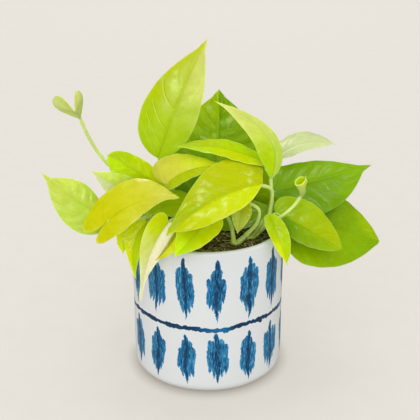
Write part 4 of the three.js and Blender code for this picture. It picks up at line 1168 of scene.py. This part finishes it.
def blade_mesh(leaf, look, settings, rows, columns):
    """A closed thin blade with a grooved midrib above, a rib below and swellings between its veins."""
    u = np.linspace(0, 1, rows + 1)
    line = u * u * (3 - 2 * u)
    reach = np.insert(np.linspace(0, 1, columns + 1) ** 1.2, columns, NEAR_EDGE)
    t, s = np.meshgrid(line, np.concatenate([-reach[:0:-1], reach]), indexing="ij")
    middle, width, up = blade_surface(leaf, t, s, settings.ripple / MM)
    normal = np.cross(np.gradient(middle, axis=1), np.gradient(middle, axis=0))
    flat = np.linalg.norm(normal, axis=-1) < 1e-5
    normal = np.where(flat[..., None], up, unit(normal))
    x = np.abs(s) * width
    edge = (1 - np.abs(s)) * width
    if not leaf["drip"]:
        edge = np.minimum(edge, (1 - t) * np.linalg.norm(np.subtract(leaf["tip"], leaf["base"])))
    swell = 0.5 - 0.5 * np.cos(2 * np.pi * vein_phase(look, t, s))
    swell *= look["quilt"] * np.clip(x / 4, 0, 1) * np.clip(edge / 5, 0, 1)
    thickness = (settings.edge + (settings.thickness - settings.edge) * (1 - np.abs(s) ** 3)) / MM
    thickness *= np.where(flat, 0.5, 1.0)
    groove = settings.groove / MM * np.exp(-(x / GROOVE_WIDTH) ** 2) * (1 - 0.7 * t)
    groove *= np.clip(width / 6, 0, 1)
    rib = settings.rib / MM * np.exp(-(x / RIB_WIDTH) ** 2) * (1 - 0.85 * t)
    rib *= np.clip(width / 4, 0, 1)
    above = middle + normal * (0.5 * thickness + swell - groove)[..., None]
    below = middle + normal * (-0.5 * thickness + swell - rib)[..., None]
    faces, corners, kinds = blade_faces(outline(leaf, line, 0) < 1e-6, t.shape[1])
    points = np.concatenate([above.reshape(-1, 3), below.reshape(-1, 3)])
    used = sorted({number for loop in faces for number in loop})
    order = {number: place for place, number in enumerate(used)}
    mesh = bpy.data.meshes.new(leaf["name"])
    mesh.from_pydata((points[used] * MM).tolist(), [], [[order[n] for n in loop] for loop in faces])
    i, j, right = np.array(corners).T
    t, s = t[i, j], s[i, j]
    layer = mesh.uv_layers.new(name="blade")
    layer.data.foreach_set("uv", np.stack([0.5 + 0.5 * s, t], axis=1).astype(np.float32).ravel())
    on_rim = np.repeat(np.equal(kinds, "rim"), [len(loop) for loop in faces])
    beside = np.where(s == 0, np.where(right, 1e-9, -1e-9), s)
    # Rim faces get an edge of -1, which the skin paints with the full pale edge highlight.
    for name, values in (("rib", x[i, j]), ("edge", np.where(on_rim, -1.0, edge[i, j])),
                         ("vein", vein_phase(look, t, beside))):
        attribute = mesh.attributes.new(name, "FLOAT", "CORNER")
        attribute.data.foreach_set("value", values.astype(np.float32))
    under = mesh.attributes.new("under", "FLOAT", "FACE")
    under.data.foreach_set("value", np.equal(kinds, "below").astype(np.float32))
    mesh.shade_smooth()
    sharp = mesh.attributes.new("sharp_face", "BOOLEAN", "FACE")
    sharp.data.foreach_set("value", [kind == "rim" for kind in kinds])
    return mesh


def skin_group():
    """A shader group for a blade's skin: two tones a half, veins, midrib, edge, mottling and flecks,
    with painted shade in the midrib's groove, a painted highlight on the edge, and flecks that are
    partly painted glare.
    """
    tree, graph, given, result = new_group(
        "leaf_skin", "ShaderNodeTree",
        {"Left Near": "Color", "Left Far": "Color", "Right Near": "Color", "Right Far": "Color",
         "Pale": "Color", "Light": "Color", "Back": "Float", "Quilt": "Float", "Mottle": "Float",
         "Fleck And Glare": "Float", "Start": "Float", "Roughness": "Float", "Seed": "Float"},
        {"Colour": "Color", "Roughness": "Float", "Height": "Float"})
    across, along, _ = graph.parts(graph.add("ShaderNodeUVMap", uv_map="blade").outputs[0])
    rib, edge, vein = (graph.attribute(name) for name in ("rib", "edge", "vein"))
    under = graph.attribute("under")
    where = graph.add("ShaderNodeTexCoord").outputs["Object"]
    place = graph.add("ShaderNodeVectorMath", where, graph.join(given["Seed"], 0.0, 0.0)).outputs[0]
    cloud = graph.noise(place, 48.0, 3.0)
    patch = graph.noise(place, 130.0, 3.0, 0.6)
    cells = graph.noise(place, 2200.0, 1.0)
    far = graph.span(graph.math("ADD", along, graph.span(cloud, 0.2, 0.8, -0.15, 0.15)), 0.1, 0.95)
    left = graph.blend(far, given["Left Near"], given["Left Far"])
    right = graph.blend(far, given["Right Near"], given["Right Far"])
    skin = graph.blend(graph.span(across, 0.47, 0.53), left, right)
    value = graph.total(1.0, graph.product(graph.span(cloud, 0.25, 0.75, -0.5, 0.5), given["Mottle"]),
                        graph.span(patch, 0.25, 0.75, -0.035, 0.035),
                        graph.span(cells, 0.3, 0.7, -0.02, 0.02))
    skin = graph.tuned(skin, graph.span(patch, 0.2, 0.8, 0.496, 0.504), 1.0, value)
    gap = graph.minus(0.5, graph.math("ABSOLUTE", graph.minus(graph.math("FRACT", vein), 0.5)))
    line = graph.product(graph.span(gap, 0.1, 0.0), graph.span(rib, 0.2, 1.5),
                         graph.span(edge, 1.0, 5.0))
    # Pale flecks along the veins: partly the blade's own flecking and partly painted glare, the light
    # shining off the blade.
    lanes = graph.join(graph.product(vein, 1.2), graph.product(rib, 0.07), given["Seed"])
    streak = graph.noise(lanes, 1.0, 3.0)
    speck = graph.noise(place, 110.0, 3.0, 0.6)
    fleck_and_glare = graph.product(graph.span(streak, 0.48, 0.62), graph.span(speck, 0.42, 0.62), given["Fleck And Glare"],
                          graph.span(edge, 0.5, 4.0), graph.span(rib, 0.5, 2.5),
                          graph.span(rib, 17.0, 9.0),
                          graph.span(graph.minus(along, given["Start"]), -0.15, 0.15))
    bright = graph.tuned(skin, 0.498, 0.88, 1.3)
    bright = graph.blend(graph.span(given["Fleck And Glare"], 0.1, 1.0, 0.04, 0.6), bright, given["Light"])
    skin = graph.blend(graph.product(fleck_and_glare, 0.7), skin, bright)
    deeper = graph.tuned(skin, 0.505, 1.04, 0.86)
    skin = graph.blend(graph.product(line, 0.22), skin, deeper)
    # Painted shade: the midrib's groove is darkened, most near the petiole, as if shade lay in it.
    painted_groove_shade = graph.product(graph.span(rib, 0.9, 0.2), graph.span(along, 0.0, 1.0, 0.75, 0.15))
    skin = graph.blend(painted_groove_shade, skin, deeper)
    # Painted highlight: the blade's edge and its rim faces turn paler, as if light caught them.
    painted_edge_tone = graph.blend(0.25, graph.tuned(skin, 0.498, 0.82, 1.3), given["Pale"])
    painted_edge_light = graph.total(graph.span(edge, 1.0, 0.1, 0.0, 0.4), graph.span(edge, 0.0, -0.5, 0.0, 0.5))
    skin = graph.blend(painted_edge_light, skin, painted_edge_tone)
    veiled = graph.math("MAXIMUM", graph.product(given["Back"], graph.span(edge, 2.0, 7.0, 0.1, 1.0)),
                        graph.product(graph.span(rib, 1.3, 0.5), 0.5))
    below = graph.blend(veiled, graph.tuned(skin, 0.5, 0.82, 0.97), given["Pale"])
    rough = graph.total(given["Roughness"], graph.product(under, 0.16),
                        graph.span(patch, 0.3, 0.7, -0.05, 0.07))
    ridges = graph.join(graph.product(vein, 3.0), graph.product(rib, 0.35), given["Seed"])
    puffs = graph.product(graph.noise(ridges, 1.0, 2.0), given["Quilt"], graph.span(rib, 0.5, 3.0))
    height = graph.total(graph.product(line, -0.08), graph.product(cells, 0.02),
                         graph.product(patch, 0.12), puffs)
    graph.feed(result["Colour"], graph.blend(under, skin, below))
    graph.feed(result["Roughness"], rough)
    graph.feed(result["Height"], height)
    return tree


def blade_material(name, look, group, settings, seed):
    """The thin, waxy skin of one blade, which lets part of the light through."""
    material, graph, surface, output = new_material(name + "_skin")
    tones = [linear(GROWTH_AND_PAINTED_LIGHT[tone]) for tone in look["tones"].split()]
    skin = place_group(graph, group, {
        "Left Near": tones[0], "Left Far": tones[1], "Right Near": tones[2], "Right Far": tones[3],
        "Pale": settings.pale, "Light": settings.fleck_and_glare, "Back": look["back"], "Quilt": look["quilt"],
        "Mottle": MOTTLE, "Fleck And Glare": look["fleck_and_glare"], "Start": look["start"],
        "Roughness": settings.rough, "Seed": 0.37 * seed,
    })
    graph.fill(surface, {"Base Color": skin["Colour"], "Roughness": skin["Roughness"],
                         "Specular IOR Level": 0.2})
    raise_surface(graph, surface, skin["Height"])
    through = graph.add("ShaderNodeBsdfTranslucent", graph.tuned(skin["Colour"], 0.5, 1.12, 1.25))
    mixed = graph.add("ShaderNodeMixShader", settings.glow, surface.outputs[0], through.outputs[0])
    graph.feed(output.inputs[0], mixed.outputs[0])
    return material


class POTHOS_OT_leaves(bpy.types.Operator):
    """Makes every leaf blade"""

    bl_idname = "pothos.leaves"
    bl_label = "Leaves"

    def execute(self, context):
        settings = context.scene.pothos_leaves
        group = skin_group()
        for seed, leaf in enumerate(LEAVES):
            name = leaf["name"]
            look = PLAIN_LOOK | LOOKS[name]
            hidden = name.startswith(("leaf_inner", "leaf_back")) and name != "leaf_back_quilted"
            detail = HIDDEN_DETAIL if hidden else 1.0
            mesh = blade_mesh(leaf, look, settings, int(settings.rows * detail),
                              int(settings.columns * detail))
            mesh.materials.append(blade_material(name, look, group, settings, seed))
            piece = place_mesh(name.replace("leaf_", "blade_", 1), mesh)
            stand_for(piece, name)
        return {"FINISHED"}


def smooth_path(points, step):
    """Evenly spread points on a smooth curve through the given ones, and their distances along it.

    The curve is a centripetal Catmull-Rom spline, and lengths are in millimetres.
    """
    points = [np.array(p, float) for p in points]
    padded = [2 * points[0] - points[1]] + points + [2 * points[-1] - points[-2]]
    u = np.linspace(0, 1, 40, endpoint=False)[:, None]
    dense = []
    for a, b, c, d in zip(padded, padded[1:], padded[2:], padded[3:]):
        d0, d1, d2 = (np.sqrt(np.linalg.norm(q - p)) for p, q in ((a, b), (b, c), (c, d)))
        m0 = ((b - a) / d0 - (c - a) / (d0 + d1) + (c - b) / d1) * d1
        m1 = ((c - b) / d1 - (d - b) / (d1 + d2) + (d - c) / d2) * d1
        square = 3 * (c - b) - 2 * m0 - m1
        cube = 2 * (b - c) + m0 + m1
        dense.append(b + m0 * u + square * u ** 2 + cube * u ** 3)
    dense = np.concatenate(dense + [points[-1][None]])
    lengths = np.concatenate([[0.0], np.cumsum(np.linalg.norm(np.diff(dense, axis=0), axis=1))])
    spots = np.linspace(0, lengths[-1], max(int(lengths[-1] / step), 4) + 1)
    return np.stack([np.interp(spots, lengths, dense[:, k]) for k in range(3)], axis=1), spots


def petiole_path(leaf, start, via, radius):
    """Points of a petiole from its stem to just under its blade, and on along the midrib's underside.

    Gives also how many of the points lie under the blade after the first one there.
    """
    rolled = leaf["scroll"] > 1 or leaf["drip"] == 0
    spots = np.array([0.0, 0.15] if rolled else [0.0, 0.08, 0.18, 0.3])
    points, _, up, _, _ = midrib(leaf, spots)
    arriving = unit(points[0] - np.array(via[-1] if via else start, float))
    slope = np.sqrt(max(0.0, 1 - float(arriving @ up[0]) ** 2))
    droop = np.tan(np.radians(max(0.0, -min(leaf["fold"]))))
    drops = [0.7 + radius * (slope + droop)]
    drops += [0.5] if rolled else [0.25 + radius * part for part in (0.8, 0.55, 0.25)]
    return [start, *via] + [p - n * d for p, n, d in zip(points, up, drops)], len(spots) - 1


def add_strand(curve, path, radii):
    """Adds one strand with its own radius at each point, in millimetres."""
    spline = curve.splines.new("POLY")
    spline.points.add(len(path) - 1)
    for point, place, radius in zip(spline.points, path, radii):
        point.co = (*(c * MM for c in place), 1.0)
        point.radius = radius * MM


def strand_tree():
    """Geometry Nodes that give each strand a grooved section, its own radius and an uneven skin."""
    tree, graph, given, result = new_group(
        "grown_strands", "GeometryNodeTree",
        {"Strands": "Geometry", "Sides": "Int", "Groove": "Float", "Grain": "Float",
         "Material": "Material"},
        {"Vine": "Geometry"})
    along = graph.add("GeometryNodeStoreNamedAttribute", given["Strands"], data_type="FLOAT",
                      domain="POINT")
    graph.fill(along, {"Name": "along",
                       "Value": graph.add("GeometryNodeSplineParameter").outputs["Factor"]})
    ring = graph.add("GeometryNodeCurvePrimitiveCircle", given["Sides"])
    ring.inputs["Radius"].default_value = 1.0
    place = graph.add("GeometryNodeInputPosition").outputs[0]
    _, y, _ = graph.parts(place)
    notch = graph.minus(1.0, graph.product(graph.span(y, 0.75, 1.0), given["Groove"]))
    section = graph.add("GeometryNodeSetPosition", ring.outputs[0], None, graph.scaled(place, notch))
    width = graph.add("GeometryNodeInputRadius").outputs[0]
    body = graph.add("GeometryNodeCurveToMesh", along.outputs[0], section.outputs[0], width, True)
    grain = graph.span(graph.noise(place, 330.0, 2.0), 0.2, 0.8, -0.5, 0.5)
    normal = graph.add("GeometryNodeInputNormal").outputs[0]
    lift = graph.scaled(normal, graph.product(grain, given["Grain"]))
    moved = graph.add("GeometryNodeSetPosition", body.outputs[0], None, None, lift)
    smooth = graph.add("GeometryNodeSetShadeSmooth", moved.outputs[0])
    real = graph.add("GeometryNodeRealizeInstances", smooth.outputs[0])
    final = graph.add("GeometryNodeSetMaterial", real.outputs[0])
    graph.feed(final.inputs["Material"], given["Material"])
    graph.feed(result["Vine"], final.outputs[0])
    return tree


def vine_material(vines):
    """Pale, slightly clear skin of petioles, greener and scarred towards the mix."""
    material, graph, surface, output = new_material("vine_skin")
    where = graph.add("ShaderNodeTexCoord").outputs["Object"]
    _, _, z = graph.parts(where)
    cloud = graph.noise(where, 60.0, 2.0)
    fibre = graph.noise(where, 900.0, 2.0)
    scar = graph.span(graph.noise(where, 240.0, 3.0, 0.7), 0.62, 0.74)
    low = graph.span(graph.math("ADD", z, graph.span(cloud, 0.2, 0.8, -0.006, 0.006)), 0.132, 0.112)
    skin = graph.blend(low, vines.young, vines.old)
    skin = graph.blend(graph.span(graph.attribute("along"), 0.6, 1.0, 0.0, 0.35), skin, vines.pale)
    value = graph.total(1.0, graph.span(cloud, 0.25, 0.75, -0.08, 0.08),
                        graph.span(fibre, 0.3, 0.7, -0.05, 0.05))
    skin = graph.tuned(skin, 0.5, 1.0, value)
    skin = graph.blend(graph.product(scar, low, 0.6), skin, vines.scar)
    graph.fill(surface, {"Base Color": skin, "Roughness": graph.span(fibre, 0.3, 0.7, 0.38, 0.5)})
    raise_surface(graph, surface, graph.total(graph.product(fibre, 0.05), graph.product(cloud, 0.2)))
    through = graph.add("ShaderNodeBsdfTranslucent", skin)
    mixed = graph.add("ShaderNodeMixShader", 0.3, surface.outputs[0], through.outputs[0])
    graph.feed(output.inputs[0], mixed.outputs[0])
    return material


class POTHOS_OT_vines(bpy.types.Operator):
    """Makes the rooted stems and the petioles that grow from them"""

    bl_idname = "pothos.vines"
    bl_label = "Vines"

    def execute(self, context):
        vines = context.scene.pothos_vines
        stem_radius, petiole_radius = vines.stem / MM, vines.petiole / MM
        material = vine_material(vines)
        tree = strand_tree()
        leaves = {leaf["name"]: leaf for leaf in LEAVES}
        for vine in VINES:
            curve = bpy.data.curves.new("strands", "CURVE")
            curve.dimensions = "3D"
            foot = (*vine["stem"][0][:2], SOIL_LEVEL - STEM_DEPTH)
            path, spots = smooth_path([foot, *vine["stem"]], STEM_STEP)
            left = np.clip((spots[-1] - spots) / stem_radius, 0.0, 1.0)
            from_ring = np.mod(spots, STEM_RINGS) - 0.5 * STEM_RINGS
            rings = 1 + 0.1 * np.exp(-from_ring ** 2 / 0.5)
            add_strand(curve, path, stem_radius * rings * np.sqrt(1 - (1 - left) ** 2 * 0.96))
            for petiole in vine["petioles"]:
                start = vine["stem"][petiole["at"]]
                points, run = petiole_path(leaves[petiole["leaf"]], start, petiole["via"],
                                           petiole_radius)
                path, spots = smooth_path(points, PETIOLE_STEP)
                knee = spots[np.linalg.norm(path - np.array(points[-1 - run]), axis=1).argmin()]
                radii = petiole_radius + vines.sheath / MM * np.exp(-spots / SHEATH_FADE)
                from_knee = (spots - knee + KNEE_PLACE) / KNEE_LENGTH
                radii += vines.knee / MM * np.exp(-from_knee ** 2)
                fade = np.clip((spots - knee) / max(spots[-1] - knee, 1e-6), 0.0, 1.0)
                add_strand(curve, path, radii * (1 - 0.75 * fade))
            piece = grown_mesh(place_mesh("strands", curve), tree, {
                "Sides": vines.sides, "Groove": vines.groove, "Grain": vines.grain,
                "Material": material,
            }, "strands_" + vine["name"])
            stand_for(piece, vine["name"])
        return {"FINISHED"}


def floor_material(stage):
    """Plain pale floor with a hardly visible grain, darkened close to the pot by a painted contact
    shadow.
    """
    material, graph, surface, _ = new_material("plain_floor")
    where = graph.add("ShaderNodeTexCoord").outputs["Object"]
    grain = graph.noise(where, 40.0, 3.0)
    x, y, _ = graph.parts(where)
    # Darker towards the contact colour close to the pot, which is a painted contact shadow, with a faint
    # grain over all.
    grain_and_painted_shadow = graph.total(graph.span(grain, 0.3, 0.7, 0.0, 0.02),
                      graph.span(graph.from_axis(x, y), 0.05, 0.07, 0.7, 0.0))
    tint = graph.blend(grain_and_painted_shadow, stage.floor, stage.contact)
    mirrored = graph.add("ShaderNodeLightPath").outputs["Is Glossy Ray"]
    graph.fill(surface, {
        "Base Color": tint, "Roughness": graph.span(grain, 0.3, 0.7, 0.85, 0.9),
        "Emission Color": graph.blend(mirrored, tint, stage.mirrored), "Emission Strength": stage.lift,
        "Specular IOR Level": 0.2,
    })
    return material


def add_lamp(name, kind, energy, place, size, target=PLANT_MIDDLE, mirrored=False):
    """Adds a lamp that shines from a place to a target, for light alone or only for its reflections.

    A sun's size is its width in degrees, and another lamp's size is its width in metres.
    """
    data = bpy.data.lights.new(name, kind)
    data.energy = energy
    if kind == "SUN":
        data.angle = np.radians(size)
    else:
        data.shape = "SQUARE"
        data.size = size
    lamp = bpy.data.objects.new(name, data)
    lamp.location = place
    lamp.rotation_euler = (Vector(target) - Vector(place)).to_track_quat("-Z", "Y").to_euler()
    lamp.visible_glossy = mirrored
    lamp.visible_diffuse = not mirrored
    bpy.context.scene.collection.objects.link(lamp)


class POTHOS_OT_stage(bpy.types.Operator):
    """Makes the floor, the soft studio light and the camera"""

    bl_idname = "pothos.stage"
    bl_label = "Stage"

    def execute(self, context):
        stage = context.scene.pothos_stage
        reach = stage.reach
        mesh = bpy.data.meshes.new("floor")
        corners = [(-reach, -reach, 0), (reach, -reach, 0), (reach, reach, 0), (-reach, reach, 0)]
        mesh.from_pydata(corners, [], [(0, 1, 2, 3)])
        mesh.materials.append(floor_material(stage))
        place_mesh("floor", mesh)
        world = bpy.data.worlds.new("soft_light")
        world.use_nodes = True
        graph = Graph(world.node_tree)
        sky = world.node_tree.nodes["Background"]
        ray = graph.add("ShaderNodeLightPath").outputs
        strength = graph.span(ray["Is Glossy Ray"], 0.0, 1.0, stage.sky, stage.gloss)
        graph.feed(sky.inputs[0], graph.blend(ray["Is Camera Ray"], stage.air, stage.backdrop))
        graph.feed(sky.inputs[1], graph.span(ray["Is Camera Ray"], 0.0, 1.0, strength, 1.0))
        context.scene.world = world
        add_lamp("key", "SUN", stage.key, KEY_PLACE, KEY_WIDTH)
        add_lamp("rear", "SUN", stage.rear, REAR_PLACE, REAR_WIDTH)
        for name, place in PANELS.items():
            add_lamp(name, "AREA", stage.panel, place, PANEL_WIDTH, mirrored=True)
        add_lamp("far_floor", "AREA", stage.far, FAR_PLACE, FAR_WIDTH, target=FAR_FLOOR)
        context.scene.view_settings.view_transform = "Standard"
        data = bpy.data.cameras.new("camera")
        data.lens = stage.lens
        data.sensor_width = 36.0
        camera = bpy.data.objects.new("camera", data)
        camera.location = CAMERA_PLACE
        camera.rotation_euler = (np.radians(CAMERA_TILT), 0.0, CAMERA_PAN)
        context.scene.collection.objects.link(camera)
        context.scene.camera = camera
        return {"FINISHED"}


class POTHOS_PT_build(bpy.types.Panel):
    """Lists the pieces and their settings"""

    bl_label = "Potted neon pothos"
    bl_space_type = "VIEW_3D"
    bl_region_type = "UI"
    bl_category = "Pothos"

    def draw(self, context):
        for operator, group in STEPS:
            box = self.layout.box()
            box.operator(operator.bl_idname)
            settings = getattr(context.scene, group)
            for name in settings.__annotations__:
                box.prop(settings, name)


SETTINGS = {"pothos_pot": PotSettings, "pothos_mix": MixSettings, "pothos_vines": VineSettings,
            "pothos_leaves": LeafSettings, "pothos_stage": StageSettings}
STEPS = ((POTHOS_OT_pot, "pothos_pot"), (POTHOS_OT_mix, "pothos_mix"),
         (POTHOS_OT_vines, "pothos_vines"), (POTHOS_OT_leaves, "pothos_leaves"),
         (POTHOS_OT_stage, "pothos_stage"))


def register():
    for name, group in SETTINGS.items():
        bpy.utils.register_class(group)
        setattr(bpy.types.Scene, name, PointerProperty(type=group))
    for operator, _ in STEPS:
        bpy.utils.register_class(operator)
    bpy.utils.register_class(POTHOS_PT_build)


def unregister():
    bpy.utils.unregister_class(POTHOS_PT_build)
    for operator, _ in reversed(STEPS):
        bpy.utils.unregister_class(operator)
    for name, group in reversed(SETTINGS.items()):
        delattr(bpy.types.Scene, name)
        bpy.utils.unregister_class(group)


def main():
    register()
    bpy.ops.pothos.pot()
    bpy.ops.pothos.mix()
    bpy.ops.pothos.vines()
    bpy.ops.pothos.leaves()
    bpy.ops.pothos.stage()


if __name__ == "__main__":
    main()
